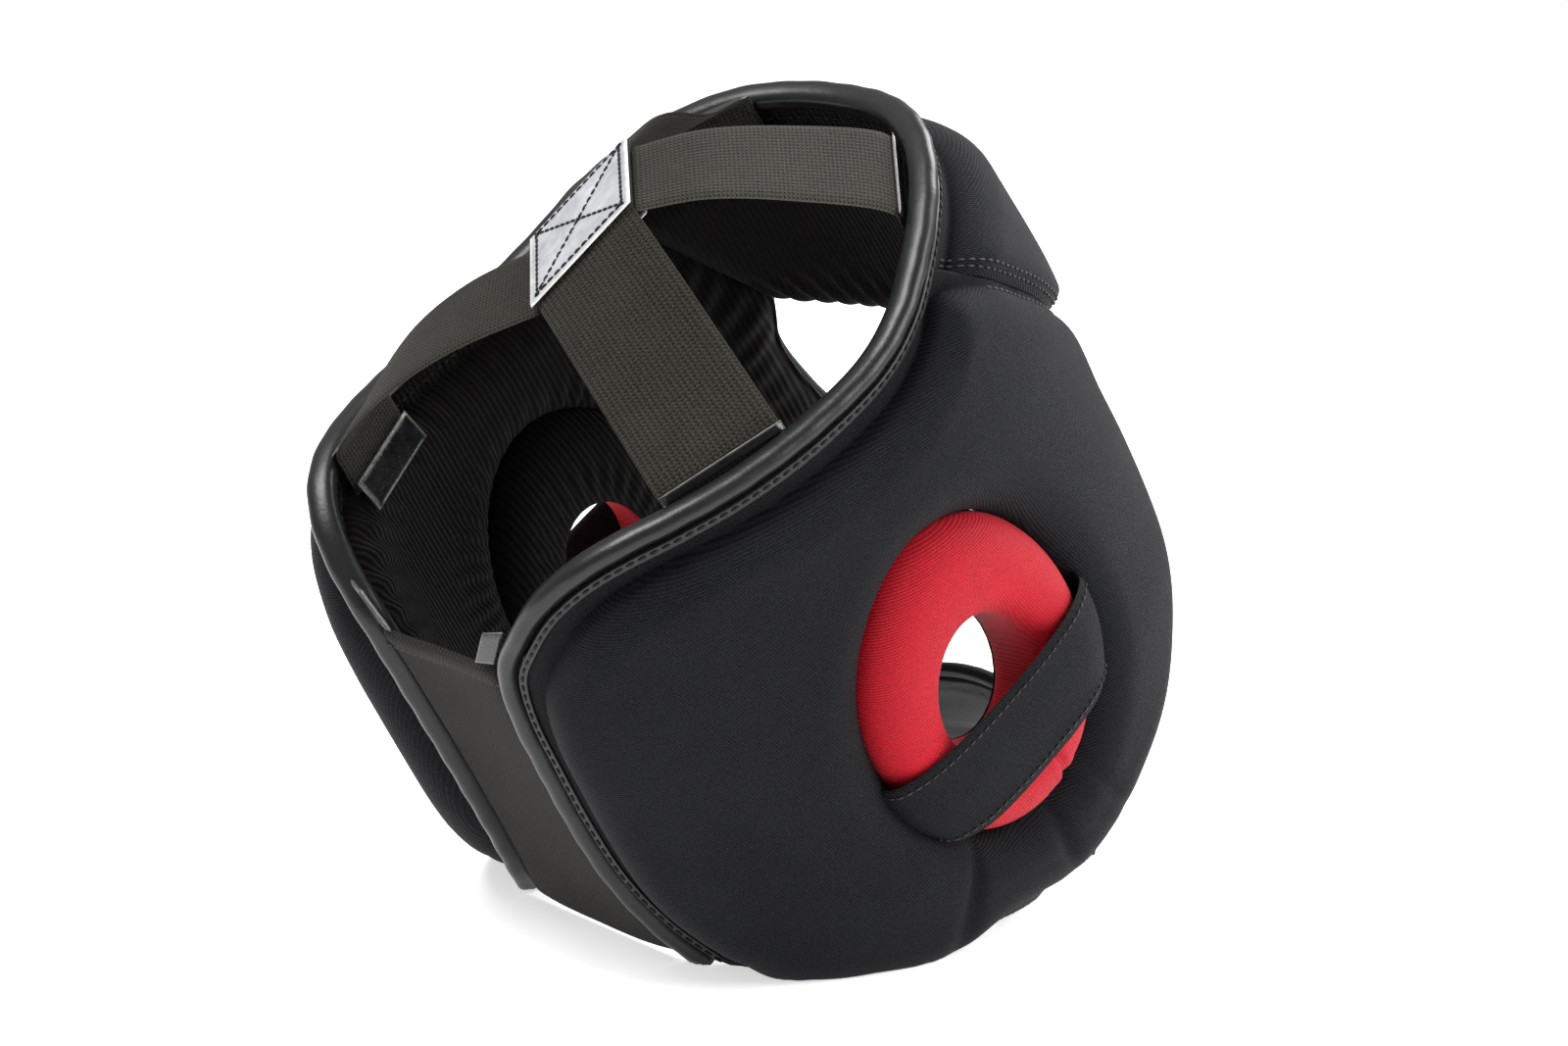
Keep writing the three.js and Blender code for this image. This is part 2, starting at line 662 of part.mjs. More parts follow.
// A webbing runs flat over the crossing, between its two arms.
function crownStrap(startArm, startCorners, endArm, endCorners, startSide) {
  const edge = (side, from, to) => [
    ...armEdge(startArm, side * startSide, from),
    from.clone().lerp(to, 0.5),
    ...armEdge(endArm, -side * startSide, to).reverse(),
  ];
  const near = edge(1, startCorners[0], endCorners[0]);
  const far = edge(-1, startCorners[1], endCorners[1]);
  return band(near, far, STRAP_THICKNESS);
}

function crownStrapOne() {
  const at = (first, second) => corner(first, second, layerOffset);
  const { frontLeft, backRight } = ARM_TABLE;
  return crownStrap(frontLeft, [at(-1, -1), at(-1, 1)], backRight, [at(1, -1), at(1, 1)], -1);
}

function crownStrapTwo() {
  const at = (first, second) => corner(first, second, -layerOffset);
  const { backLeft, frontRight } = ARM_TABLE;
  return crownStrap(backLeft, [at(1, 1), at(-1, 1)], frontRight, [at(1, -1), at(-1, -1)], 1);
}

// A square of leather over or under the crossing.
function crownPatch(side) {
  const inner = side * (layerOffset + STRAP_THICKNESS / 2 + SEWN_GAP);
  const outer = inner + side * PATCH_THICKNESS;
  const scale = PATCH_SIZE / STRAP_WIDTH;
  const row = (second, layer) => [-scale, scale].map((first) => corner(first, second, layer));
  const loops = [-scale, scale].map((second) => [
    ...row(second, outer),
    ...row(second, inner).reverse(),
  ]);
  return loft(loops);
}

// Leather on the inside of an arm's sewn end, leaning clear of the lining.
function strapTab(arm) {
  const face = (down, inner) => {
    const ends = [armEnd(arm, -1, down), armEnd(arm, 1, down)];
    const inward = ends[1].clone().sub(ends[0]).cross(new THREE.Vector3(0, 0, 1)).normalize();
    const centre = new THREE.Vector3(0, OVAL_CENTRE_Y, 0);
    if (inward.dot(centre.sub(ends[0])) < 0) inward.negate();
    return ends.map((point) => point.addScaledVector(inward, inner));
  };
  const near = STRAP_THICKNESS / 2 + 2 * SEWN_GAP;
  const corners = [
    face(TAB_DROP, near),
    face(TAB_DROP + TAB_LENGTH, near + TAB_LEAN),
    face(TAB_DROP + TAB_LENGTH, near + TAB_LEAN + TAB_THICKNESS),
    face(TAB_DROP, near + TAB_THICKNESS),
  ];
  return loft([0, 1].map((end) => corners.map((pair) => pair[end])));
}

// How far round from the nape the back edge lies at a height.
function backEdgeArc(z) {
  const line = rimLine().filter((point) => point.arc < arcOf(45));
  const i = Math.max(1, line.findIndex((point) => point.z >= z));
  const t = (z - line[i - 1].z) / (line[i].z - line[i - 1].z);
  return lerp(line[i - 1].arc, line[i].arc, t);
}

// How far round the back panel reaches at a height, beside the slanting piping.
function panelReach(z) {
  const slope = (backEdgeArc(z + 2) - backEdgeArc(z - 2)) / 4;
  const margin = PIPING_WIDTH + 3 * PIPING_GAP + SEWN_GAP;
  return backEdgeArc(z) - margin * Math.hypot(1, slope);
}

function backPanel() {
  const columns = 7;
  const rows = 7;
  const loops = Array.from({ length: rows }, (_, i) => {
    const z = lerp(BACK_PANEL_BOTTOM, BACK_PANEL_TOP, i / (rows - 1));
    const half = panelReach(z);
    const face = (depth) =>
      Array.from({ length: columns }, (_, k) => {
        const side = (2 * k) / (columns - 1) - 1;
        return shell(side * half, z, depth - BACK_PANEL_SAG * (1 - side * side));
      });
    return [...face(BACK_PANEL_THICKNESS / 2), ...face(-BACK_PANEL_THICKNESS / 2).reverse()];
  });
  return rested(loft(loops));
}

function backPanelTab() {
  const base = BACK_PANEL_TOP + 0.6;
  const loops = [0, 0.5, 1].map((share) => {
    const z = base + share * BACK_TAB_HEIGHT;
    const outer = panelReach(z);
    const face = (offset) => [outer, outer - BACK_TAB_WIDTH].map((arc) => shell(arc, z, offset));
    return [...face(0.8), ...face(-0.8).reverse()];
  });
  return loft(loops);
}

// The label hangs from the brow lining's lower edge beside the right temple.
function careLabel() {
  const [start, end] = [BROW_TABLE[2], BROW_TABLE[4]].map(
    (row) => new THREE.Vector2(arcOf(row.bottom), heightOf(row.low)),
  );
  const middle = start.clone().lerp(end, 0.5);
  const along = end.sub(start).normalize();
  const down = new THREE.Vector2(along.y, -along.x);
  const loops = [0, 0.5, 1].map((share) => {
    const face = (offset) =>
      [-0.5, 0.5].map((side) => {
        const point = middle
          .clone()
          .addScaledVector(along, side * LABEL_WIDTH)
          .addScaledVector(down, LABEL_GAP + share * LABEL_HEIGHT);
        return shell(point.x, point.y, offset - LABEL_LEAN * share);
      });
    return [...face(-1), ...face(-1 - LABEL_THICKNESS).reverse()];
  });
  return loft(loops);
}

// A point of the chin cup: across runs with X, up with Z, and out is away from the chin.
function chinPoint(across, up, out) {
  const bow = (across / (CHIN_CUP_LENGTH / 2)) ** 2;
  return new THREE.Vector3(across, CHIN_CUP_Y - out + CHIN_CUP_BOW * bow, CHIN_CUP_Z + up);
}

function chinCup() {
  const spans = [-1, -0.92, -0.75, -0.5, -0.25, 0, 0.25, 0.5, 0.75, 0.92, 1];
  const loops = spans.map((span) => {
    const high = (CHIN_CUP_HEIGHT / 2) * Math.sqrt(Math.max(1 - span ** 4, 0.06));
    const thick = (CHIN_CUP_THICKNESS / 2) * Math.max(1 - span ** 4, 0.2);
    const face = (side) =>
      [-1, -0.75, -0.25, 0.25, 0.75, 1].map((up) =>
        chinPoint(
          (span * CHIN_CUP_LENGTH) / 2,
          up * high,
          side * thick * Math.max(1 - up ** 4, 0.2),
        ),
      );
    return [...face(1), ...face(-1).reverse()];
  });
  return rested(loft(loops));
}

function chinPiping() {
  const steps = 32;
  const sides = 6;
  const loops = Array.from({ length: steps }, (_, i) => {
    const turn = (i / steps) * 2 * Math.PI;
    const square = (value) => Math.sign(value) * Math.abs(value) ** 0.62;
    return Array.from({ length: sides }, (_, k) => {
      const roll = (k / sides) * 2 * Math.PI;
      const grow = CHIN_PIPING_SEAT + (CHIN_PIPING_WIDTH / 2) * (1 + Math.cos(roll));
      const across = (CHIN_CUP_LENGTH / 2 + grow) * square(Math.cos(turn));
      const up = (CHIN_CUP_HEIGHT / 2 + grow) * square(Math.sin(turn));
      return chinPoint(across, up, (CHIN_PIPING_WIDTH / 2) * Math.sin(roll));
    });
  });
  return rested(loft(loops, true));
}

// The side pad's lower edge at a length round the shell.
function jawHeight(arc) {
  const line = sideOutline.filter((sample) => sample.kind === "turned" && sample.z < heightOf(-0.5));
  const i = Math.max(1, line.findIndex((sample) => sample.arc <= arc));
  const t = (arc - line[i - 1].arc) / (line[i].arc - line[i - 1].arc);
  return lerp(line[i - 1].z, line[i].z, t);
}

// The right chin strap, from under the jaw's edge to the end of the chin cup.
function chinStrap() {
  const half = CHIN_STRAP_WIDTH / 2;
  const end = CHIN_CUP_LENGTH / 2 + CHIN_PIPING_WIDTH + CHIN_PIPING_SEAT + CHIN_STRAP_SEAT;
  const foot = (side) => {
    const arc = arcOf(CHIN_STRAP_ANGLE) + side * half;
    return shell(arc, jawHeight(arc) - CHIN_STRAP_SEAT, CHIN_STRAP_INSET);
  };
  // The strap turns from upright at the jaw to level at the cup, so its edges swap round to
  // low and high.
  const [upper, lower] = CHIN_STRAP_TABLE;
  const edge = (side) => {
    const points = [
      foot(side),
      shell(arcOf(upper.angle) + side * half * 0.9, heightOf(upper.height), upper.offset),
      shell(arcOf(lower.angle), heightOf(lower.height) - side * half * 0.7, lower.offset),
      chinPoint(-end - 8, -side * half, CHIN_STRAP_INSET),
      chinPoint(-end, -side * half, 0),
    ];
    return new THREE.CatmullRomCurve3(points).getPoints(ARM_STEPS);
  };
  return rested(band(edge(-1), edge(1), CHIN_STRAP_THICKNESS));
}

const worn = new THREE.Group();

function add(name, finish, geometry) {
  const mesh = new THREE.Mesh(geometry, new THREE.MeshStandardMaterial(COLOURS[finish]));
  mesh.name = name;
  worn.add(mesh);
}

function addPair(name, finish, geometry) {
  add(name + "_right", finish, geometry);
  add(name + "_left", finish, mirrored(geometry));
}

addPair("side_pad", "neoprene", sidePad());
addPair("lining", "lining", sideLining());
add("brow_pad", "neoprene", paddedBrow(0, 0.12 * PAD_RISE, PAD_RISE));
add("lining_brow", "lining", paddedBrow(-SEWN_GAP, -0.16 * LINING_RISE, -LINING_RISE));
add("edge_piping", "binding", edgePiping());
addPair("ear_ring", "red", earRing(RING_SECTION));
addPair("ear_ring_lining", "lining", earRing(RING_LINING_SECTION));
addPair("ear_strap", "neoprene", earStrap());
add("crown_strap_one", "webbing", crownStrapOne());
add("crown_strap_two", "webbing", crownStrapTwo());
add("crown_patch_top", "leather", crownPatch(1));
add("crown_patch_bottom", "leather", crownPatch(-1));
add("strap_tab_front_right", "leather", strapTab(ARM_TABLE.frontRight));
add("strap_tab_back_right", "leather", strapTab(ARM_TABLE.backRight));
add("strap_tab_front_left", "leather", strapTab(ARM_TABLE.frontLeft));
add("strap_tab_back_left", "leather", strapTab(ARM_TABLE.backLeft));
add("back_panel", "loop", backPanel());
addPair("back_panel_tab", "leather", backPanelTab());
add("care_label", "label", careLabel());
add("chin_cup", "leather", chinCup());
add("chin_cup_piping", "binding", chinPiping());
addPair("chin_strap", "webbing", chinStrap());

// The guard leans back on the surface, with the origin under the middle of its box.
worn.rotation.x = -radians(LEAN_DEGREES);
const part = new THREE.Group();
part.add(worn);
const box = new THREE.Box3().setFromObject(part, true);
const middle = box.getCenter(new THREE.Vector3());
worn.position.set(-middle.x, -middle.y, -box.min.z);

export default part;
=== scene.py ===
import math

import bpy
import numpy as np
from mathutils import Matrix, Vector


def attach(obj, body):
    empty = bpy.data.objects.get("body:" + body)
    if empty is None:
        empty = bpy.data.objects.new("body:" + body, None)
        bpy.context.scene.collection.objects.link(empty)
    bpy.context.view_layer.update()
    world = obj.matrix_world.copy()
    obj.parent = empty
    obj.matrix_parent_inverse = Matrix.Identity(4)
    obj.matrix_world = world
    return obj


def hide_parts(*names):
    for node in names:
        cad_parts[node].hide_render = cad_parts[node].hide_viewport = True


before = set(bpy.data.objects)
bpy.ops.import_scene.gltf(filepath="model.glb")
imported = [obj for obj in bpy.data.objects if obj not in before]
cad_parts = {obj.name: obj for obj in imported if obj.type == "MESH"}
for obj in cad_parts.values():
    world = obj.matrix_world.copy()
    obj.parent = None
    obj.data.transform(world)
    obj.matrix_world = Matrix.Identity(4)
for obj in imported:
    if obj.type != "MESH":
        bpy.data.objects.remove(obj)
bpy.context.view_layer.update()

# A padded head guard lying back on its lower edges. Lengths are millimetres, as a maker writes
# them, and become metres where a mesh is made. The guard is shaped in its wearer's frame: +X to
# the wearer's left, +Y to the back, +Z up, with the origin between the ears.
METRE = 0.001
HALF_WIDTH, FRONT_REACH, BACK_REACH = 88.0, 109.0, 108.0
OVAL_CENTRE_Y, FRONT_POWER, BACK_POWER = -17.0, 2.1, 2.45
CROWN_HEIGHT, JAW_DROP = 98.0, 101.0
LEAN = math.radians(34)
PLACE_Y, EAR_HEIGHT = 7.62, 89.0

PAD_RISE, LINING_RISE, SEWN_GAP, SEAM_GAP = 14.0, 9.5, 0.3, 0.8
# Shares of the rises that the flat edges of a pad and of a lining stand.
PAD_EDGE, LINING_EDGE = 0.12, 0.2
FLANGE_WIDTH, SHOULDER_WIDTH, EAR_ROLL_WIDTH = 8.0, 14.0, 16.0
PIPING_WIDTH, PIPING_THICKNESS, PIPING_GAP = 6.5, 9.0, 0.45
LIP_WIDTH, LIP_THICKNESS, LIP_STITCH, LINING_STITCH = 2.8, 0.8, 1.3, 3.2

EAR_FORWARD, EAR_LOW = 9.0, 8.0
RING_HEIGHT, RING_LENGTH, HOLE_HEIGHT, HOLE_LENGTH = 104.0, 82.0, 46.0, 37.0
RING_RISE, RING_DEPTH, RING_CLEARANCE, HOLE_DROP = 13.5, 12.0, 0.15, 4.0
EAR_STRAP_WIDTH, EAR_STRAP_THICKNESS, EAR_STRAP_DROP, EAR_STRAP_CLEARANCE = 31.0, 2.0, 18.0, 0.7

STRAP_WIDTH, STRAP_THICKNESS, STRAP_SEAT, STRAP_SLACK, RIM_CLEARANCE = 40.0, 1.6, 7.0, 0.5, 2.0
PATCH_SIZE, PATCH_THICKNESS, PATCH_SPREAD, PATCH_STITCH = 40.5, 1.4, 1.03, 0.88
CROSSING = np.array([0.0, -23.5, 134.0])
FIRST_DIRECTION = np.array([-0.75, 0.66, 0.08])
SECOND_DIRECTION = np.array([0.5, 0.79, -0.35])
TAB_LENGTH, TAB_DROP, TAB_LEAN, TAB_THICKNESS = 11.0, 2.5, 3.0, 1.4

PANEL_TOP, PANEL_BOTTOM, PANEL_THICKNESS, PANEL_SAG = 72.0, -44.0, 1.8, 3.0
PANEL_TAB_WIDTH, PANEL_TAB_HEIGHT = 8.0, 12.0
LABEL_WIDTH, LABEL_HEIGHT, LABEL_THICKNESS, LABEL_GAP, LABEL_LEAN = 26.0, 24.0, 1.0, 0.8, 4.0
CUP_LENGTH, CUP_HEIGHT, CUP_THICKNESS, CUP_Y, CUP_Z = 86.0, 40.0, 11.0, -63.22, -118.0
CUP_BOW, CUP_PIPING_WIDTH, CUP_PIPING_SEAT = 16.0, 5.0, 0.6
CHIN_STRAP_WIDTH, CHIN_STRAP_THICKNESS, CHIN_STRAP_ANGLE, CHIN_STRAP_SEAT = 24.0, 2.0, 80, 0.7

# The shell's plan: height is a share of CROWN_HEIGHT or JAW_DROP, the others of the half width
# and of the reaches to the front and to the back.
PLAN_COLUMNS = ("height", "width", "front", "back")
PLAN_TABLE = [
    (-1.2, 0.88, 0.97, 1.03),
    (-1, 0.92, 0.98, 1.03),
    (-0.45, 1, 1, 1.05),
    (0, 1, 1, 1.03),
    (0.5, 0.99, 1, 1),
    (0.94, 0.95, 0.97, 0.97),
    (1.3, 0.91, 0.94, 0.94),
]
# Outline of the right side pad, from the foot of its back edge round by the rim, the temple seam,
# the face opening and the jaw: degrees round the oval from the nape, height, the flange's share of
# its width, and the share of the pad's rise that its edge stands.
PIPED_ROWS = [
    (26, -0.45, 1, 0.12), (20, -0.28, 1, 0.12), (16.5, -0.1, 1, 0.12), (15.5, 0.12, 1, 0.12),
    (16, 0.37, 1, 0.12), (17, 0.56, 1, 0.12), (20, 0.72, 1, 0.12), (25.5, 0.815, 1, 0.12),
    (33, 0.905, 1, 0.12), (42, 0.96, 1, 0.12), (51, 0.975, 1, 0.12), (61, 0.96, 1, 0.12),
    (74, 0.925, 1, 0.12), (87, 0.89, 1, 0.12), (99, 0.875, 1, 0.12), (109, 0.9, 1, 0.12),
    (117, 0.94, 0.9, 0.12),
]
SEAM_ROWS = [(123.5, 0.79, 0.25, 0.6), (131, 0.63, 0.25, 0.6), (138.5, 0.46, 0.25, 0.6),
             (146, 0.3, 0.2, 0.35)]
TURNED_ROWS = [
    (145, 0.1, 0.2, 0.3), (145, -0.12, 0.2, 0.3), (143, -0.3, 0.2, 0.3), (139, -0.46, 0.2, 0.3),
    (133, -0.59, 0.2, 0.3), (125, -0.7, 0.2, 0.3), (115, -0.81, 0.2, 0.3), (105, -0.88, 0.2, 0.3),
    (95, -0.93, 0.2, 0.3), (87, -0.94, 0.2, 0.3), (80, -0.88, 0.2, 0.25), (73, -0.83, 0.2, 0.3),
    (65, -0.81, 0.2, 0.3), (57, -0.76, 0.2, 0.3), (49, -0.68, 0.2, 0.3), (41, -0.6, 0.2, 0.3),
    (33, -0.52, 0.4, 0.25),
]
# Stations of the brow from the temple seam to the middle of the forehead: the top edge's angle and
# height, the bottom edge's, and how full the padding is.
BROW_TABLE = [
    (117, 0.94, 146, 0.3, 0.62), (121, 0.955, 149, 0.285, 0.93), (130, 0.985, 154, 0.25, 1),
    (141, 1.005, 160, 0.21, 1), (154, 1.01, 167, 0.175, 1.02), (167, 0.995, 173.5, 0.15, 1.04),
    (180, 0.985, 180, 0.14, 1.05),
]
# The left cheek's front edge lies pushed back: height, and by how many degrees.
PUSHED_BACK = [(-0.5, 0), (-0.3, 3), (-0.1, 8), (0.1, 9), (0.3, 7), (0.6, 0)]
# The brow's left half follows it: by the bottom edge's angle, how many degrees back and how many
# millimetres down that edge lies.
LEFT_BROW_BACK = {146: 7, 149: 6, 154: 4, 160: 2}
LEFT_BROW_DROP = {149: 2, 154: 4, 160: 5, 167: 5, 173.5: 3}
# Section of a ring: across runs from the hole to the outside, out is a share of the ring's rise,
# or of its depth where it is negative.
RING_CROWN = [(0, -0.86), (0, 0.35), (0.07, 0.7), (0.22, 0.92), (0.45, 1), (0.68, 0.93),
              (0.87, 0.68), (0.98, 0.32), (1, 0.012)]
RING_BACK = [(1, 0.012), (0.12, 0.012), (0.1, -0.86), (0, -0.86)]
RING_LINING_CROWN = [(1, -0.013), (0.97, -0.35), (0.85, -0.7), (0.62, -0.93), (0.4, -1), (0.2, -1),
                     (0.05, -0.975), (0, -0.92), (0.02, -0.88), (0.13, -0.88), (0.14, -0.7),
                     (0.14, -0.013)]
RING_LINING_BACK = [(0.14, -0.013), (1, -0.013)]
# The ear strap: along is a share of the ring's half length, past how far beyond it, out the inner
# face's share of the ring's rise.
EAR_STRAP_TABLE = [
    (-1, -1.6, 0.44), (-1, -0.8, 0.62), (-0.93, 0, 0.86), (-0.75, 0, 1), (-0.4, 0, 1.05),
    (0, 0, 1.05), (0.4, 0, 1.05), (0.75, 0, 1), (0.93, 0, 0.86), (1, 0.8, 0.62), (1, 1.6, 0.44),
]
# Arms of the webbing: angle of the sewn end, flare of its width, lift and shift of its middle,
# and how far the slack webbing waves.
ARMS = {
    "front_right": {"angle": 138, "flare": 1.04, "lift": 9, "back": 4, "wave": 0},
    "back_right": {"angle": 74, "flare": 1.16, "lift": 4, "back": 0, "wave": 0.8},
    "back_left": {"angle": 301, "flare": 1, "lift": 9, "back": 6, "wave": 0},
    "front_left": {"angle": 214, "flare": 1.02, "lift": 3, "back": 0, "wave": 3},
}


# The shell and its measures
def unit(vectors):
    return vectors / np.linalg.norm(vectors, axis=-1, keepdims=True)


def mix(a, b, share):
    return a + (b - a) * share


def bell(distance, width):
    """A hump, 1 high in the middle, that fades out over width."""
    return np.exp(-(distance / width) ** 2)


def bent(value, power):
    """A value's power with its sign kept."""
    return np.sign(value) * np.abs(value) ** power


def stacked(*parts):
    """Coordinates, spread to one shape and joined as points."""
    return np.stack(np.broadcast_arrays(*parts), -1)


def lengths_along(line):
    """How far each point of a line is from its start."""
    return np.concatenate([[0], np.cumsum(np.linalg.norm(np.diff(line, axis=0), axis=1))])


def height_of(share):
    """Millimetres from a share of CROWN_HEIGHT above the ears, or of JAW_DROP below them."""
    share = np.asarray(share, float)
    return share * np.where(share > 0, CROWN_HEIGHT, JAW_DROP)


# Heights at which the plan is worked out, and how many of them on each side smooth its corners.
PLAN_Z = np.arange(-130.0, 160.0)
PLAN_BLUR = 13


def plan_column(index):
    """One column of the plan over PLAN_Z, with its corners smoothed."""
    heights = height_of([row[0] for row in PLAN_TABLE])
    values = np.interp(PLAN_Z, heights, [row[index] for row in PLAN_TABLE])
    padded = np.pad(values, PLAN_BLUR, mode="edge")
    window = np.hanning(2 * PLAN_BLUR + 1)
    return np.convolve(padded, window / window.sum(), mode="valid")


PLAN = {name: plan_column(i) for i, name in enumerate(PLAN_COLUMNS) if i}


def oval(angle, z):
    """Points of the shell at an angle from the nape and a height, in the wearer's frame."""
    power = 2 / np.where(np.cos(angle) > 0, BACK_POWER, FRONT_POWER)
    across, along = bent(np.sin(angle), power), bent(np.cos(angle), power)
    width = np.interp(z, PLAN_Z, PLAN["width"])
    front = FRONT_REACH * np.interp(z, PLAN_Z, PLAN["front"])
    back = BACK_REACH * np.interp(z, PLAN_Z, PLAN["back"])
    y = OVAL_CENTRE_Y + np.where(along > 0, back, front) * along
    return np.stack([-HALF_WIDTH * width * across, y, z + 0 * angle], -1)


ANGLES = np.linspace(0, math.tau, 2881)
ARCS = lengths_along(oval(ANGLES, 0 * ANGLES))
FULL_ARC = ARCS[-1]


def arc_of(degrees):
    """The length round the shell at an angle from the nape."""
    return np.interp(np.radians(degrees), ANGLES, ARCS)


def shell(arc, z, offset=0.0):
    """Points at a length round the shell and a height, pushed outwards by offset."""
    arc, z, offset = np.broadcast_arrays(*(np.asarray(v, float) for v in (arc, z, offset)))
    probe = 1.5

    def at(a, h):
        return oval(np.interp(np.mod(a, FULL_ARC), ARCS, ANGLES), h)

    round_it = at(arc + probe, z) - at(arc - probe, z)
    up_it = at(arc, z + probe) - at(arc, z - probe)
    return at(arc, z) + unit(np.cross(round_it, up_it)) * offset[..., None]


def place(points):
    """From the wearer's frame in millimetres to the part's frame in metres."""
    x, y, z = np.moveaxis(np.asarray(points, float), -1, 0)
    back = y * math.cos(LEAN) + z * math.sin(LEAN) + PLACE_Y
    up = -y * math.sin(LEAN) + z * math.cos(LEAN) + EAR_HEIGHT
    return np.stack([x, back, up], -1) * METRE


# The ear's place round the shell, found on the right side.
BESIDE_EAR = slice(360, 1080)
EAR_ARC = float(np.interp(EAR_FORWARD, -oval(ANGLES[BESIDE_EAR], 0 * ANGLES[BESIDE_EAR])[:, 1],
                          ARCS[BESIDE_EAR]))


def curve_through(rows, steps, closed=False, measured=None):
    """A centripetal Catmull-Rom curve; measured says how many columns its spacing is read from."""
    rows = np.asarray(rows, float)
    count = len(rows)
    spans = count if closed else count - 1
    if closed:
        ends = rows[[-1]], rows[:2]
    else:
        ends = [2 * rows[0] - rows[1]], [2 * rows[-1] - rows[-2]]
    line = np.concatenate([ends[0], rows, ends[1]])
    gaps = np.linalg.norm(np.diff(line[:, :measured], axis=0), axis=1) ** 0.5
    share = np.arange(steps)[:, None] / steps
    pieces = []
    for i in range(spans):
        p0, p1, p2, p3 = line[i:i + 4]
        a, b, c = gaps[i:i + 3]
        leave = b * ((p1 - p0) / a - (p2 - p0) / (a + b) + (p2 - p1) / b)
        reach = b * ((p2 - p1) / b - (p3 - p1) / (b + c) + (p3 - p2) / c)
        cubic = 2 * p1 - 2 * p2 + leave + reach
        square = -3 * p1 + 3 * p2 - 2 * leave - reach
        pieces.append(p1 + leave * share + square * share**2 + cubic * share**3)
    if not closed:
        pieces.append(rows[-1:])
    return np.concatenate(pieces)


def noise_wave(a, b, seed, size):
    """A soft, low hump over two lengths, about -1 to 1, the same on every run."""
    total = 0
    for k, turn in enumerate((0.3, 1.4, 2.6, 4.1)):
        reach = size * (1 + 0.37 * k)
        total = total + np.sin((a * math.cos(turn) + b * math.sin(turn)) / reach + seed * (k + 1.7))
    return total / 4


# Meshes
def added(name, data):
    """Puts a new object into the scene."""
    made = bpy.data.objects.new(name, data)
    bpy.context.scene.collection.objects.link(made)
    return made


def rounded_band(count):
    """Across a band and back: share across, and height over its inner face, 0 to 1."""
    across = np.linspace(-0.5, 0.5, count)
    edge = np.clip((0.5 - np.abs(across)) * 16, 0, 1) ** 0.6
    top, bottom = 0.5 + 0.5 * edge, 0.5 - 0.5 * edge
    return np.concatenate([across, across[::-1]]), np.concatenate([top, bottom[::-1]])


def band(near, far, thickness, width, count):
    """A strap between two edge lines: its points and its chart."""
    near, far = near[:, None], far[:, None]
    share, level = rounded_band(count)
    middle = mix(near, far, (share + 0.5)[:, None])
    run = np.gradient(near[:, 0] + far[:, 0], axis=0)
    normal = unit(np.cross(run, (far - near)[:, 0]))[:, None]
    points = middle + normal * (thickness * (level - 0.5))[:, None]
    return points, stacked(share * width, lengths_along(middle[:, 5])[:, None])


def oriented(points, faces):
    """Turns a closed body's faces outwards."""
    fans = [(f[0], f[k], f[k + 1]) for f in faces for k in range(1, len(f) - 1)]
    a, b, c = (points[np.array(fans)[:, k]] for k in range(3))
    middle = points.mean(0)
    volume = np.einsum("ij,ij->i", a - middle, np.cross(b - middle, c - middle)).sum()
    return faces if volume > 0 else [tuple(reversed(f)) for f in faces]


def body(name, loops, chart, wrap=False, marks=None, mirror=False, rested=False):
    """One closed body through loops of points, with its own flat chart for cloth patterns."""
    loops = np.array(loops)
    rows, columns = loops.shape[:2]
    points = place(loops).reshape(-1, 3)
    if mirror:
        points[:, 0] *= -1
    if rested:
        points[:, 2] = np.maximum(points[:, 2], 0)
    faces = []
    for i in range(rows if wrap else rows - 1):
        for j in range(columns):
            k, n = (j + 1) % columns, (i + 1) % rows
            faces.append((i * columns + j, i * columns + k, n * columns + k, n * columns + j))
    if not wrap:
        half = columns // 2
        for first in (0, (rows - 1) * columns):
            for j in range(half - 1):
                quad = (first + j, first + columns - 1 - j, first + columns - 2 - j, first + j + 1)
                faces.append(quad if first == 0 else tuple(reversed(quad)))
    faces = oriented(points, faces)
    mesh = bpy.data.meshes.new(name)
    mesh.from_pydata(points.tolist(), [], faces)
    layer = mesh.uv_layers.new(name="chart")
    corners = np.zeros(len(mesh.loops), np.int32)
    mesh.loops.foreach_get("vertex_index", corners)
    flat = np.asarray(chart, float).reshape(-1, 2) * METRE
    layer.data.foreach_set("uv", flat[corners].astype(np.float32).ravel())
    if marks is not None:
        attribute = mesh.attributes.new("worn", "FLOAT", "POINT")
        attribute.data.foreach_set("value", np.asarray(marks, np.float32).ravel())
    mesh.polygons.foreach_set("use_smooth", np.ones(len(mesh.polygons), bool))
    mesh.validate()
    return added(name, mesh)


def finished(piece, material, node=None):
    """Gives a piece its finish, hangs it under the root body's empty and, given a node, hides that
    CAD part.
    """
    piece.data.materials.clear()
    piece.data.materials.append(material)
    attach(piece, "root")
    if node:
        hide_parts(node)


# Finishes
class Wire:
    """A shader socket that adds its Math nodes when it takes part in an expression."""

    def __init__(self, finish, socket):
        self.finish, self.socket = finish, socket

    def maths(self, operation, *values):
        return self.finish.node("ShaderNodeMath", {"operation": operation}, dict(enumerate(values)))

    def __add__(self, other):
        return self.maths("ADD", self, other)

    def __sub__(self, other):
        return self.maths("SUBTRACT", self, other)

    def __rsub__(self, other):
        return self.maths("SUBTRACT", other, self)

    def __mul__(self, other):
        return self.maths("MULTIPLY", self, other)

    __radd__, __rmul__ = __add__, __mul__

    def wave(self):
        return self.maths("SINE", self)

    def ribs(self, pitch):
        return (self * (math.tau / pitch)).wave()

    def held(self, low, high):
        return self.maths("MINIMUM", self.maths("MAXIMUM", self, low), high)


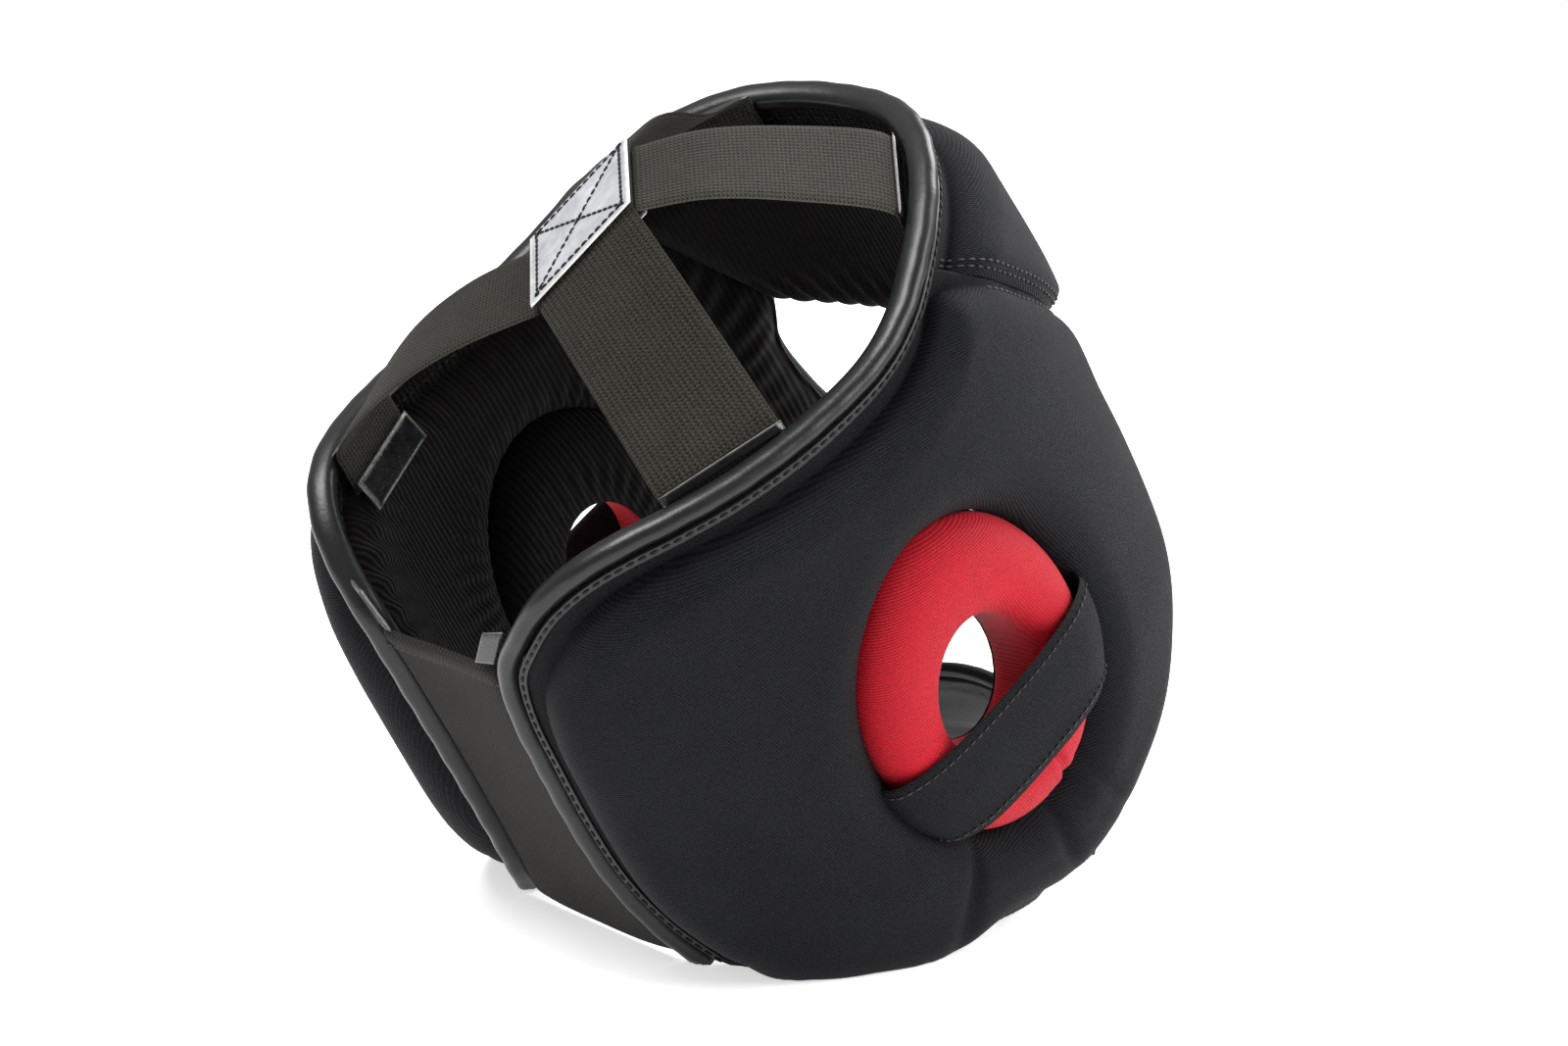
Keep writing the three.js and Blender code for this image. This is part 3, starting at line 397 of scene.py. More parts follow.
SOCKETS = {
    "colour": "Base Color", "roughness": "Roughness", "normal": "Normal",
    "sheen": "Sheen Weight", "sheen_roughness": "Sheen Roughness",
    "gloss": "Specular IOR Level", "glow": "Emission Strength", "glow_colour": "Emission Color",
}


class Finish:
    """A material with one method that makes any node."""

    def __init__(self, name, roughness, **constants):
        self.material = bpy.data.materials.new(name)
        self.material.use_nodes = True
        self.tree = self.material.node_tree
        self.shader = self.tree.nodes["Principled BSDF"]
        self.shader.inputs["Roughness"].default_value = roughness
        for socket, value in constants.items():
            self.shader.inputs[SOCKETS[socket]].default_value = value

    def node(self, kind, settings=None, values=None, output=0):
        made = self.tree.nodes.new(kind)
        for name, value in (settings or {}).items():
            setattr(made, name, value)
        for socket, value in (values or {}).items():
            target = made.inputs[socket]
            if isinstance(value, Wire):
                self.tree.links.new(value.socket, target)
            else:
                target.default_value = value
        return Wire(self, made.outputs[output])

    def feed(self, **wires):
        for name, wire in wires.items():
            self.tree.links.new(wire.socket, self.shader.inputs[SOCKETS[name]])
        return self.material

    def chart(self):
        """Across and along the cloth, in millimetres."""
        flat = self.node("ShaderNodeUVMap", {"uv_map": "chart"})
        parts = self.node("ShaderNodeSeparateXYZ", values={0: flat})
        along = Wire(self, parts.socket.node.outputs[1])
        return parts * (1 / METRE), along * (1 / METRE)

    def grain(self, size, detail=3.0, rough=0.55):
        """Cloudy noise whose patches are about size millimetres wide."""
        where = self.node("ShaderNodeTexCoord", output=3)
        scale = 1 / (size * METRE)
        values = {"Vector": where, "Scale": scale, "Detail": detail, "Roughness": rough}
        return self.node("ShaderNodeTexNoise", values=values)

    def cells(self, size):
        where = self.node("ShaderNodeTexCoord", output=3)
        values = {"Vector": where, "Scale": 1 / (size * METRE)}
        return self.node("ShaderNodeTexVoronoi", {"feature": "F1"}, values)

    def blend(self, share, first, second):
        values = {0: share, 6: first, 7: second}
        return self.node("ShaderNodeMix", {"data_type": "RGBA"}, values, output=2)

    def relief(self, height, depth, strength=1.0):
        values = {"Height": height, "Distance": depth * METRE, "Strength": strength}
        return self.node("ShaderNodeBump", values=values)


def shade(red, green, blue):
    """A colour written as it looks on a screen, 0 to 255, as linear light."""
    parts = [v / 255 for v in (red, green, blue)]
    return (*[v / 12.92 if v <= 0.04045 else ((v + 0.055) / 1.055) ** 2.4 for v in parts], 1.0)


def neoprene(name, deep, pale, sheen, gloss):
    """Jersey-faced neoprene: a fine diagonal knit, a soft bloom and slight cloudiness."""
    finish = Finish(name, 0.7, sheen=sheen, sheen_roughness=0.4, gloss=gloss)
    across, along = finish.chart()
    knit = (across + along).ribs(1.25) * (across - along).ribs(2.016)
    cloud = finish.grain(26)
    fuzz = finish.grain(0.45, detail=2)
    tone = (cloud - 0.5) * 0.5 + (fuzz - 0.5) * 1.6 + knit * 0.4 + 0.36
    colour = finish.blend(tone.held(0, 1), deep, pale)
    roughness = (0.6 + cloud * 0.16 + knit * 0.05).held(0, 1)
    height = knit * 0.6 + fuzz * 0.5 + finish.grain(9, detail=2) * 1.2
    return finish.feed(colour=colour, roughness=roughness, normal=finish.relief(height, 0.26, 0.75))


def ribbed_lining():
    """Quilted lining with fine raised ribs."""
    finish = Finish("ribbed_lining", 0.8, sheen=0.04, sheen_roughness=0.4, gloss=0.12)
    across, along = finish.chart()
    ribs = (across * (math.tau / 2.3) + finish.grain(12) * 1.1).wave()
    picks = along.ribs(1.2)
    cloud = finish.grain(18)
    tone = (0.42 + ribs * 0.22 + picks * 0.05 + (cloud - 0.5) * 0.5).held(0, 1)
    colour = finish.blend(tone, shade(3, 3, 3), shade(26, 22, 20))
    height = ribs * 0.9 + picks * 0.12 + cloud * 0.8
    return finish.feed(colour=colour, normal=finish.relief(height, 0.35, 0.8))


def elastic_webbing(name, deep, pale):
    """Woven elastic: cords along its length crossed by close picks."""
    finish = Finish(name, 0.75, sheen=0.05, sheen_roughness=0.4, gloss=0.15)
    across, along = finish.chart()
    cords = across.ribs(1.7)
    picks = (along * (math.tau / 1.25) + cords * 1.2).wave()
    cloud = finish.grain(15)
    fuzz = finish.grain(0.6, detail=2)
    tone = 0.4 + picks * 0.2 + cords * 0.18 + (cloud - 0.5) * 0.3 + (fuzz - 0.5) * 1.2
    colour = finish.blend(tone.held(0, 1), deep, pale)
    height = cords * 0.45 + picks * 0.55 + fuzz * 0.5
    return finish.feed(colour=colour, normal=finish.relief(height, 0.22, 0.8))


def leather(name, deep, pale, raw, roughness, gloss, mottle=1.0):
    """Smooth grained leather; the worn mark shows its raw, pale edge."""
    finish = Finish(name, roughness, gloss=gloss)
    cells = finish.cells(1.1)
    cloud = finish.grain(14)
    creases = finish.grain(3.2, detail=4)
    worn = finish.node("ShaderNodeAttribute", {"attribute_name": "worn"}, output=2)
    tone = ((cloud - 0.5) * (0.9 * mottle) + (creases - 0.5) * (0.6 * mottle) + 0.45).held(0, 1)
    bared = (worn * (0.75 + (creases - 0.5) * 1.1)).held(0, 1)
    colour = finish.blend(bared, finish.blend(tone, deep, pale), raw)
    dull = (roughness + (creases - 0.5) * (0.25 * mottle) + bared * 0.35).held(0, 1)
    height = cells * -0.6 + creases * 1.2
    relief = finish.relief(height, 0.14 * mottle, 0.7)
    return finish.feed(colour=colour, roughness=dull, normal=relief)


def loop_fabric():
    """Brushed loop pile on a close knit."""
    finish = Finish("loop_fabric", 0.9, sheen=0.06, sheen_roughness=0.5, gloss=0.12)
    across, along = finish.chart()
    knit = across.ribs(1.6) * along.ribs(1.6)
    pile = finish.grain(0.8, detail=4, rough=0.7)
    cloud = finish.grain(20)
    tone = 0.45 + knit * 0.15 + (pile - 0.5) * 0.9 + (cloud - 0.5) * 0.5
    colour = finish.blend(tone.held(0, 1), shade(10, 9, 8), shade(44, 42, 37))
    return finish.feed(colour=colour, normal=finish.relief(knit * 0.5 + pile, 0.3, 0.8))


def satin_label():
    """Plain white satin ribbon."""
    finish = Finish("satin_label", 0.5, gloss=0.4)
    across, along = finish.chart()
    weave = along.ribs(0.9) + across.ribs(0.6) * 0.5
    cloud = finish.grain(8)
    tone = (0.5 + weave * 0.12 + (cloud - 0.5) * 0.6).held(0, 1)
    colour = finish.blend(tone, shade(214, 214, 210), shade(244, 244, 240))
    return finish.feed(colour=colour, normal=finish.relief(weave, 0.08, 0.5))


def thread(name, deep, pale):
    finish = Finish(name, 0.55, gloss=0.25)
    twist = finish.grain(0.5, detail=2)
    colour = finish.blend(twist.held(0, 1), deep, pale)
    return finish.feed(colour=colour, normal=finish.relief(twist, 0.1, 0.6))


BLACK_NEOPRENE = neoprene("black_neoprene", shade(2, 2, 3), shade(34, 35, 39), 0.02, 0.09)
RED_NEOPRENE = neoprene("red_neoprene", shade(142, 0, 18), shade(202, 12, 38), 0.06, 0.22)
LINING = ribbed_lining()
CROWN_WEBBING = elastic_webbing("crown_webbing", shade(10, 10, 8), shade(62, 58, 50))
CHIN_WEBBING = elastic_webbing("chin_webbing", shade(12, 12, 12), shade(42, 41, 40))
BINDING = leather("binding_leather", shade(6, 6, 7), shade(24, 25, 27), shade(90, 90, 92),
                  roughness=0.36, gloss=0.4, mottle=0.45)
# The patch's pale grey-white shades are a painted highlight: the white sheen of the glossy leather
# is painted into its colour.
PATCH = leather("patch_leather", shade(138, 140, 144), shade(212, 214, 218), shade(228, 226, 220),
                roughness=0.22, gloss=0.75)
TAB = leather("tab_leather", shade(8, 8, 9), shade(32, 33, 36), shade(150, 148, 142),
              roughness=0.24, gloss=0.6)
CUP_LEATHER = leather("cup_leather", shade(10, 11, 12), shade(34, 36, 39), shade(90, 90, 92),
                      roughness=0.32, gloss=0.5)
LOOP_FABRIC = loop_fabric()
LABEL = satin_label()
DARK_THREAD = thread("dark_thread", shade(7, 7, 8), shade(30, 30, 33))
GREY_THREAD = thread("grey_thread", shade(24, 24, 27), shade(68, 68, 70))


# Stitches, made by a node tree along the seams
def stitch_tree(material):
    """A tree that lays one small thread every pitch along each seam line."""
    tree = bpy.data.node_groups.new("stitches_" + material.name, "GeometryNodeTree")
    face = tree.interface
    face.new_socket("Seams", in_out="INPUT", socket_type="NodeSocketGeometry")
    sizes = [("Pitch", 0.0032), ("Thread length", 0.0024), ("Thread width", 0.0007)]
    for name, value in sizes:
        socket = face.new_socket(name, in_out="INPUT", socket_type="NodeSocketFloat")
        socket.default_value = value
    face.new_socket("Thread", in_out="OUTPUT", socket_type="NodeSocketGeometry")

    def node(kind, settings=None, values=None):
        made = tree.nodes.new(kind)
        for name, value in (settings or {}).items():
            setattr(made, name, value)
        for socket, value in (values or {}).items():
            if isinstance(value, bpy.types.NodeSocket):
                tree.links.new(value, made.inputs[socket])
            else:
                made.inputs[socket].default_value = value
        return made

    entry = node("NodeGroupInput")
    line = node("GeometryNodeMeshToCurve", values={"Mesh": entry.outputs["Seams"]})
    spaced = node("GeometryNodeResampleCurve", {"mode": "LENGTH"},
                  {"Curve": line.outputs["Curve"], "Length": entry.outputs["Pitch"]})
    bead = node("GeometryNodeMeshUVSphere", values={"Segments": 6, "Rings": 5, "Radius": 0.5})
    size = node("ShaderNodeCombineXYZ", values={0: entry.outputs["Thread length"],
                                                 1: entry.outputs["Thread width"],
                                                 2: entry.outputs["Thread width"]})
    tangent = node("GeometryNodeInputTangent")
    turn = node("FunctionNodeAlignRotationToVector", {"axis": "X"},
                {"Vector": tangent.outputs["Tangent"]})
    laid = node("GeometryNodeInstanceOnPoints",
                values={"Points": spaced.outputs["Curve"], "Instance": bead.outputs["Mesh"],
                        "Rotation": turn.outputs["Rotation"], "Scale": size.outputs["Vector"]})
    real = node("GeometryNodeRealizeInstances", values={"Geometry": laid.outputs["Instances"]})
    painted = node("GeometryNodeSetMaterial", values={"Geometry": real.outputs["Geometry"],
                                                      "Material": material})
    node("NodeGroupOutput", values={"Thread": painted.outputs["Geometry"]})
    return tree


STITCH_TREES = {m.name: stitch_tree(m) for m in (DARK_THREAD, GREY_THREAD)}


# The lowest a thread's middle lies over the surface that the guard rests on.
THREAD_FLOOR = 0.4


def stitches(name, seams, material, pitch=3.2, length=2.4, width=0.7):
    """Sews along seam lines given in the wearer's frame."""
    points, edges = [], []
    for seam in seams:
        start = len(points)
        placed = place(seam)
        placed[:, 2] = np.maximum(placed[:, 2], THREAD_FLOOR * METRE)
        points += placed.tolist()
        edges += [(start + i, start + i + 1) for i in range(len(seam) - 1)]
    mesh = bpy.data.meshes.new(name + "_line")
    mesh.from_pydata(points, edges, [])
    carrier = added(name + "_line", mesh)
    modifier = carrier.modifiers.new("stitches", "NODES")
    modifier.node_group = STITCH_TREES[material.name]
    sizes = {"Pitch": pitch, "Thread length": length, "Thread width": width}
    for item in modifier.node_group.interface.items_tree:
        if item.name in sizes:
            modifier[item.identifier] = sizes[item.name] * METRE
    graph = bpy.context.evaluated_depsgraph_get()
    made = bpy.data.meshes.new_from_object(carrier.evaluated_get(graph))
    bpy.data.objects.remove(carrier)
    made.polygons.foreach_set("use_smooth", np.ones(len(made.polygons), bool))
    finished(added(name, made), material)


# Side pads and their linings
def swell(share):
    """How padding rises from a stitched edge, 0 to 1."""
    return (1 - (1 - np.clip(share, 0, 1)) ** 2.2) ** 0.62


def seam_arc(z):
    """The temple seam's place round the shell at a height."""
    top, high, bottom, low, _ = BROW_TABLE[0]
    share = (height_of(high) - z) / (height_of(high) - height_of(low))
    return mix(arc_of(top), arc_of(bottom), share)


def pushed_back(height):
    """How far the left cheek's front edge lies behind the right one's, in degrees."""
    return float(np.interp(height, *zip(*PUSHED_BACK), left=0, right=0))


def outline_rows(side):
    temple = BROW_TABLE[0][0]
    rows = []
    for row in PIPED_ROWS + SEAM_ROWS + TURNED_ROWS:
        angle, height, flange, edge = row
        z = float(height_of(height))
        arc = float(seam_arc(z) if row in SEAM_ROWS else arc_of(angle))
        if side == "left" and angle > temple:
            arc += float(arc_of(angle - pushed_back(height)) - arc_of(angle))
        rows.append((arc, z, flange, edge))
    return rows


SIDE_ROWS = outline_rows("right")
PIPED, SEAMED = len(PIPED_ROWS), len(PIPED_ROWS + SEAM_ROWS)
OUTLINE_STEPS = 11
SIDE_LINES = {side: curve_through(outline_rows(side), OUTLINE_STEPS, closed=True, measured=2)
              for side in ("right", "left")}


class Rays:
    """Lines from the side pad's outline in to the ear ring's edge."""

    def __init__(self, line):
        half_length = RING_LENGTH / 2 + RING_CLEARANCE
        half_height = RING_HEIGHT / 2 + RING_CLEARANCE
        self.arc, self.z, flange, self.edge = line.T
        turn = np.arctan2((self.z + EAR_LOW) / half_height, (self.arc - EAR_ARC) / half_length)
        self.ear_arc = EAR_ARC + half_length * np.cos(turn)
        self.ear_z = half_height * np.sin(turn) - EAR_LOW
        self.length = np.hypot(self.arc - self.ear_arc, self.z - self.ear_z)
        self.flange = FLANGE_WIDTH * np.clip(flange, 0.15, 1)
        self.shoulder = np.minimum(SHOULDER_WIDTH, 0.55 * self.length - self.flange)
        self.roll = np.minimum(EAR_ROLL_WIDTH, 0.42 * self.length)

    def where(self, distance):
        share = distance / self.length[:, None]
        return (mix(self.arc[:, None], self.ear_arc[:, None], share),
                mix(self.z[:, None], self.ear_z[:, None], share))

    def rows(self):
        """Distances from the edge, closest together where the surface bends most."""
        flange, shoulder = self.flange[:, None], self.shoulder[:, None]
        length, roll = self.length[:, None], self.roll[:, None]
        return np.hstack([
            flange * np.linspace(0, 1, 5)[:-1],
            flange + shoulder * np.linspace(0, 1, 15)[:-1] ** 1.8,
            mix(flange + shoulder, length - roll, np.linspace(0, 1, 15)[:-1]),
            length - roll * (1 - np.linspace(0, 1, 15)) ** 1.8,
        ])

    def height(self, distance, low, rise):
        up = swell((distance - self.flange[:, None]) / self.shoulder[:, None])
        down = swell((self.length[:, None] - distance) / self.roll[:, None])
        return mix(low, rise, 0.03 + 0.97 * up) * mix(0.2, 1, down)


def groove_beside(distance, flange):
    """The stitched line where the padding starts, where the flange is wide enough for one."""
    return 0.9 * bell(distance - flange, 1.0) * np.clip((flange - 4) / 2, 0, 1)


# Creases under the ear: angle at the jaw, depth, and half width
JAW_CREASES = [(63, 3.0, 4.0), (86, 3.4, 3.6), (97, 1.6, 3.0)]


def side_offset(rays, distance):
    """The outer face of a side pad over the shell."""
    low = rays.edge[:, None] * PAD_RISE
    height = rays.height(distance, low, PAD_RISE)
    arc, z = rays.where(distance)
    full = height / PAD_RISE
    ripple = 0.8 * noise_wave(arc, z, 3.1, 17) + 0.45 * noise_wave(arc, z, 8.3, 7)
    height = height - groove_beside(distance, rays.flange[:, None])
    jaw = np.clip((-rays.z[:, None] - 40) / 30, 0, 1)
    share = distance / rays.length[:, None]
    for angle, depth, half_width in JAW_CREASES:
        groove = bell(rays.arc[:, None] - arc_of(angle), half_width)
        ripple = ripple - depth * groove * jaw * np.clip(1.5 * share, 0.25, 1)
    return height + ripple * np.clip(full - 0.12, 0, 1)


def lining_offset(rays, distance):
    """The inner face of a side lining, gathered at its outline and folded round the ear."""
    arc, z = rays.where(distance)
    run = lengths_along(stacked(rays.arc, rays.z))[:, None]
    share = distance / rays.length[:, None]
    gathers = np.sin(run * (math.tau / 11)) * bell(share - 0.18, 0.16)
    folds = np.sin(run * (math.tau / 15) + 1) * bell(share - 0.85, 0.12)
    depth = rays.height(distance, -LINING_EDGE * LINING_RISE, -LINING_RISE)
    depth = depth + 0.7 * gathers + 0.6 * folds + 0.8 * noise_wave(arc, z, 5.2, 15)
    return np.minimum(depth, -SEWN_GAP - 0.5)


def side_body(name, side, face_offset, under):
    """A closed body from the outline in to the ear ring and back under, close to the shell."""
    rays = Rays(SIDE_LINES[side])
    outer = rays.rows()
    inner = rays.length[:, None] * np.linspace(1, 0, 12)
    arc, z = rays.where(np.hstack([outer, inner]))
    offset = np.hstack([face_offset(rays, outer), 0 * inner + under])
    return body(name + side, shell(arc, z, offset), stacked(arc, z), wrap=True,
                mirror=side == "left", rested=True)


def side_pad(side):
    piece = side_body("soft_side_pad_", side, side_offset, 0)
    finished(piece, BLACK_NEOPRENE, "side_pad_" + side)


def side_lining(side):
    piece = side_body("soft_lining_", side, lining_offset, -SEWN_GAP)
    finished(piece, LINING, "lining_" + side)


# Brow
def brow_rows():
    """The brow's stations from the right temple seam to the left one."""
    half = [(arc_of(top), arc_of(bottom), height_of(high), height_of(low), full)
            for top, high, bottom, low, full in BROW_TABLE]
    half[0] = (half[0][0] + SEAM_GAP, half[0][1] + SEAM_GAP, *half[0][2:])
    other = []
    for (top, bottom, high, low, full), station in zip(half[-2::-1], BROW_TABLE[-2::-1]):
        angle = station[2]
        back = arc_of(angle) - arc_of(angle - LEFT_BROW_BACK.get(angle, 0))
        drop = LEFT_BROW_DROP.get(angle, 0)
        other.append((FULL_ARC - top, FULL_ARC - bottom + back, high, low - drop, full))
    return half + other


def brow_grid(meeting, low, rise, texture):
    """A closed grid over the brow; its far face lies at the offset meeting."""
    rows = curve_through(brow_rows(), 20)
    top, bottom, high, base, full = (column[:, None] for column in rows.T)
    length = np.hypot(bottom - top, high - base)
    shoulder = np.minimum(SHOULDER_WIDTH, 0.45 * length - FLANGE_WIDTH)
    distance = np.hstack([
        FLANGE_WIDTH * np.linspace(0, 1, 5)[:-1] + 0 * length,
        FLANGE_WIDTH + shoulder * np.linspace(0, 1, 13)[:-1] ** 1.8,
        mix(FLANGE_WIDTH + shoulder, length - shoulder, np.linspace(0, 1, 14)[:-1]),
        length - shoulder * (1 - np.linspace(0, 1, 14)) ** 1.8,
    ])
    up = swell((distance - FLANGE_WIDTH) / shoulder)
    down = swell((length - distance) / shoulder)
    height = mix(low, rise * full, 0.03 + 0.97 * up) * mix(0.25, 1, down)
    under = length * np.linspace(1, 0, distance.shape[1])
    every = np.hstack([distance, under])
    share = every / length
    arc, z = mix(top, bottom, share), mix(high, base, share)
    run = mix(top, bottom, 0.8) + 0 * distance
    height = height + texture(run, distance / length, arc[:, :distance.shape[1]],
                              z[:, :distance.shape[1]], height / rise)
    offset = np.hstack([height, 0 * under + meeting])
    return shell(arc, z, offset), stacked(arc, z)


def brow_surface(lift=0.0):
    """The brow pad's grid, a row across it at each place along it, raised by lift."""
    def texture(run, share, arc, z, full):
        soft = 0.7 * noise_wave(arc, z, 1.9, 16) + 0.4 * noise_wave(arc, z, 6.4, 7)
        return soft * np.clip(full - 0.12, 0, 1) + lift

    return brow_grid(0, PAD_EDGE * PAD_RISE, PAD_RISE, texture)


def brow_pad():
    piece = body("soft_brow_pad", *brow_surface())
    finished(piece, BLACK_NEOPRENE, "brow_pad")


def brow_lining():
    def texture(run, share, arc, z, full):
        gathers = np.sin(run * (math.tau / 8) + np.sin(run / 19))
        pinched = bell(share - 0.9, 0.12) + 0.35 * bell(share - 0.15, 0.1)
        return 1.1 * gathers * pinched + 0.6 * noise_wave(arc, z, 4.4, 14)

    grid = brow_grid(-SEWN_GAP, -LINING_EDGE * LINING_RISE, -LINING_RISE, texture)
    piece = body("soft_lining_brow", *grid)
    finished(piece, LINING, "lining_brow")


# Rolled edge binding
def rim_rows():
    """The bound edge's places on the right half, from its foot to the forehead."""
    side = [row[:2] for row in SIDE_ROWS[:PIPED]]
    brow = [(float(arc_of(top)), float(height_of(high))) for top, high, *_ in BROW_TABLE[1:]]
    return side + brow


def edge_line(steps):
    """The bound edge, from the right foot round the rim to the left foot."""
    right = rim_rows()
    left = [(FULL_ARC - arc, z) for arc, z in right[-2::-1]]
    return curve_through(right + left, steps)


def outward(line):
    """Direction out of the pads' edge, over the shell."""
    run = unit(np.gradient(line, axis=0))
    return np.stack([-run[:, 1], run[:, 0]], -1)


def edge_piping():
    line = edge_line(12)
    out = outward(line)
    sides = 20
    turn = (np.arange(sides) + 0.5) / sides * math.tau
    along = lengths_along(line)
    squared = 0.86
    wide, deep = bent(np.cos(turn), squared), bent(np.sin(turn), squared)
    groove = 1 - 0.1 * bell(turn - math.radians(140), 0.16)
    puckers = 1 + 0.025 * np.sin(along / 2.1)[:, None] * np.clip(np.sin(turn), 0, 1)
    reach = PIPING_GAP + PIPING_WIDTH / 2 * (1 + wide * groove * puckers)
    offset = PIPING_THICKNESS / 2 * deep * groove * puckers
    arc = line[:, :1] + out[:, :1] * reach
    z = line[:, 1:] + out[:, 1:] * reach
    chart = stacked(turn * 4, along[:, None])
    piece = body("soft_edge_piping", shell(arc, z, offset), chart, rested=True)
    finished(piece, BINDING, "edge_piping")


LIP_BASE = PAD_EDGE * PAD_RISE + PIPING_GAP


def binding_lip():
    """The binding's thin turned edge, flat on the flange beside the roll."""
    line = edge_line(12)
    inward = -outward(line)
    share, level = rounded_band(10)
    reach = LIP_WIDTH * (share + 0.5)
    arc, z = (line[:, k, None] + inward[:, k, None] * reach for k in (0, 1))
    wander = 0.35 * noise_wave(arc, z, 4.7, 9) * (share > 0)
    lift = LIP_BASE + LIP_THICKNESS * level
    points = shell(arc + inward[:, :1] * wander, z + inward[:, 1:] * wander, lift)
    chart = stacked(reach, lengths_along(line)[:, None])
    finished(body("soft_binding_lip", points, chart, rested=True), BINDING)


# Ear rings
def ring_section(crown, back):
    """A ring's section: a smooth curve, closed by straight sides."""
    curve = curve_through(crown, 5)
    straight = [mix(np.array(a, float), np.array(b, float), k / 5)
                for a, b in zip(back, back[1:]) for k in range(1, 6)]
    return np.concatenate([curve, straight[:-1] if back[-1] == crown[0] else straight])


RING_SEAM_TURN = math.radians(-80)


def ear_ring(side, lined):
    if lined:
        section = ring_section(RING_LINING_CROWN, RING_LINING_BACK)
    else:
        section = ring_section(RING_CROWN, RING_BACK)
    turn = np.linspace(0, math.tau, 180, endpoint=False)[:, None]
    across, out = section.T
    half_length = mix(HOLE_LENGTH, RING_LENGTH, across) / 2
    half_height = mix(HOLE_HEIGHT, RING_HEIGHT, across) / 2
    offset = out * np.where(out > 0, RING_RISE, RING_DEPTH) + 0 * turn
    arc = EAR_ARC + half_length * np.cos(turn)
    z = half_height * np.sin(turn) - EAR_LOW - HOLE_DROP * (1 - across)
    if lined:
        folds = np.sin(turn * 26) * bell(across - 0.3, 0.2)
        offset = offset + 0.5 * folds * np.clip(-out, 0, 1)
    else:
        away = np.angle(np.exp(1j * (turn - RING_SEAM_TURN)))
        seam = 1.3 * bell(away, 0.035) + 0.35 * np.cos(away * 34) * bell(away, 0.2)
        bumps = 0.5 * noise_wave(arc, z, 2.2, 11) - seam
        offset = offset + np.clip(out, 0, 1) * bumps
    name = "ear_ring_lining_" + side if lined else "ear_ring_" + side
    piece = body("soft_" + name, shell(arc, z, offset), stacked(arc, z), wrap=True,
                 mirror=side == "left")
    if lined:
        finished(piece, LINING, name)
    else:
        finished(piece, RED_NEOPRENE, name)


def ear_strap_rows():
    """The strap's line over the ring, smooth, as along, past and out."""
    return curve_through(EAR_STRAP_TABLE, 6)


def ear_strap_place(share, thickness):
    """Points over the strap: share runs from its upper edge (-0.5) to its lower edge (0.5)."""
    along, past, out = ear_strap_rows().T[:, :, None]
    up = -EAR_STRAP_WIDTH * share - EAR_STRAP_DROP
    half = RING_LENGTH / 2 * np.sqrt(1 - (up / (RING_HEIGHT / 2)) ** 2)
    arc = along * half + past
    lift = out * RING_RISE + EAR_STRAP_CLEARANCE
    slope = np.gradient(lift, axis=0) / np.gradient(arc, axis=0)
    lean = np.hypot(1, slope)
    arc = arc - thickness * slope / lean
    lift = lift + thickness / lean
    return EAR_ARC + arc, up - EAR_LOW + 0 * arc, lift


def ear_strap(side):
    share, level = rounded_band(26)
    hem = 0.25 * np.cos(share * math.tau) * (level > 0.5)
    arc, z, lift = ear_strap_place(share, EAR_STRAP_THICKNESS * level + hem)
    piece = body("soft_ear_strap_" + side, shell(arc, z, lift), stacked(arc, z),
                 mirror=side == "left")
    finished(piece, BLACK_NEOPRENE, "ear_strap_" + side)


# Crown webbing
def rim_height(arc):
    """The crown rim's height at a length round the shell."""
    folded = np.minimum(arc, FULL_ARC - arc)
    rows = [row for row in rim_rows() if row[1] > 0]
    return np.interp(folded, [row[0] for row in rows], [row[1] for row in rows])


STRAP_OFFSET = -(PIPING_THICKNESS / 2 + SEWN_GAP + STRAP_SLACK + STRAP_THICKNESS / 2)
FIRST, SECOND = unit(FIRST_DIRECTION), unit(SECOND_DIRECTION)
CROSSING_NORMAL = unit(np.cross(SECOND, FIRST))
CROSSING_NORMAL = CROSSING_NORMAL * np.sign(CROSSING_NORMAL[2])
LAYER = STRAP_THICKNESS / 2 + SEWN_GAP


def arm_end(arm, side, down=STRAP_SEAT):
    """A point of an arm's end, at a side of its width and a depth under the rim."""
    arc = arc_of(arm["angle"]) + side * arm["flare"] * STRAP_WIDTH / 2
    return shell(arc, rim_height(arc) - down, STRAP_OFFSET)


def corner(first, second, layer):
    """A point of the square where the webbings cross, a layer out from its middle."""
    return (CROSSING + FIRST * first * STRAP_WIDTH / 2 + SECOND * second * STRAP_WIDTH / 2
            + CROSSING_NORMAL * layer)


def arm_edge(arm, side, corner_point, steps):
    """One edge of an arm, from inside the rim over the gap to a corner of the crossing."""
    rim = arm_end(arm, side, -PIPING_WIDTH - RIM_CLEARANCE)

    def arch(share):
        bulge = math.sin(share * math.pi)
        wave = arm["wave"] * math.sin(share * math.tau)
        shift = np.array([0, arm["back"] * bulge, arm["lift"] * bulge - wave])
        return mix(rim, corner_point, share) + shift

    points = [arm_end(arm, side), arm_end(arm, side, -PIPING_WIDTH / 2), rim, arch(1 / 3),
              arch(2 / 3), corner_point]
    return curve_through(points, steps)


def crown_strap(name, start, start_corners, end, end_corners, start_side):
    def edge(side, a, b):
        return np.concatenate([
            arm_edge(start, side * start_side, a, 9),
            mix(a, b, np.linspace(0, 1, 8)[1:-1, None]),
            arm_edge(end, -side * start_side, b, 9)[::-1],
        ])

    near = edge(1, start_corners[0], end_corners[0])
    far = edge(-1, start_corners[1], end_corners[1])
    piece = body("soft_" + name, *band(near, far, STRAP_THICKNESS, STRAP_WIDTH, 22))
    finished(piece, CROWN_WEBBING, name)


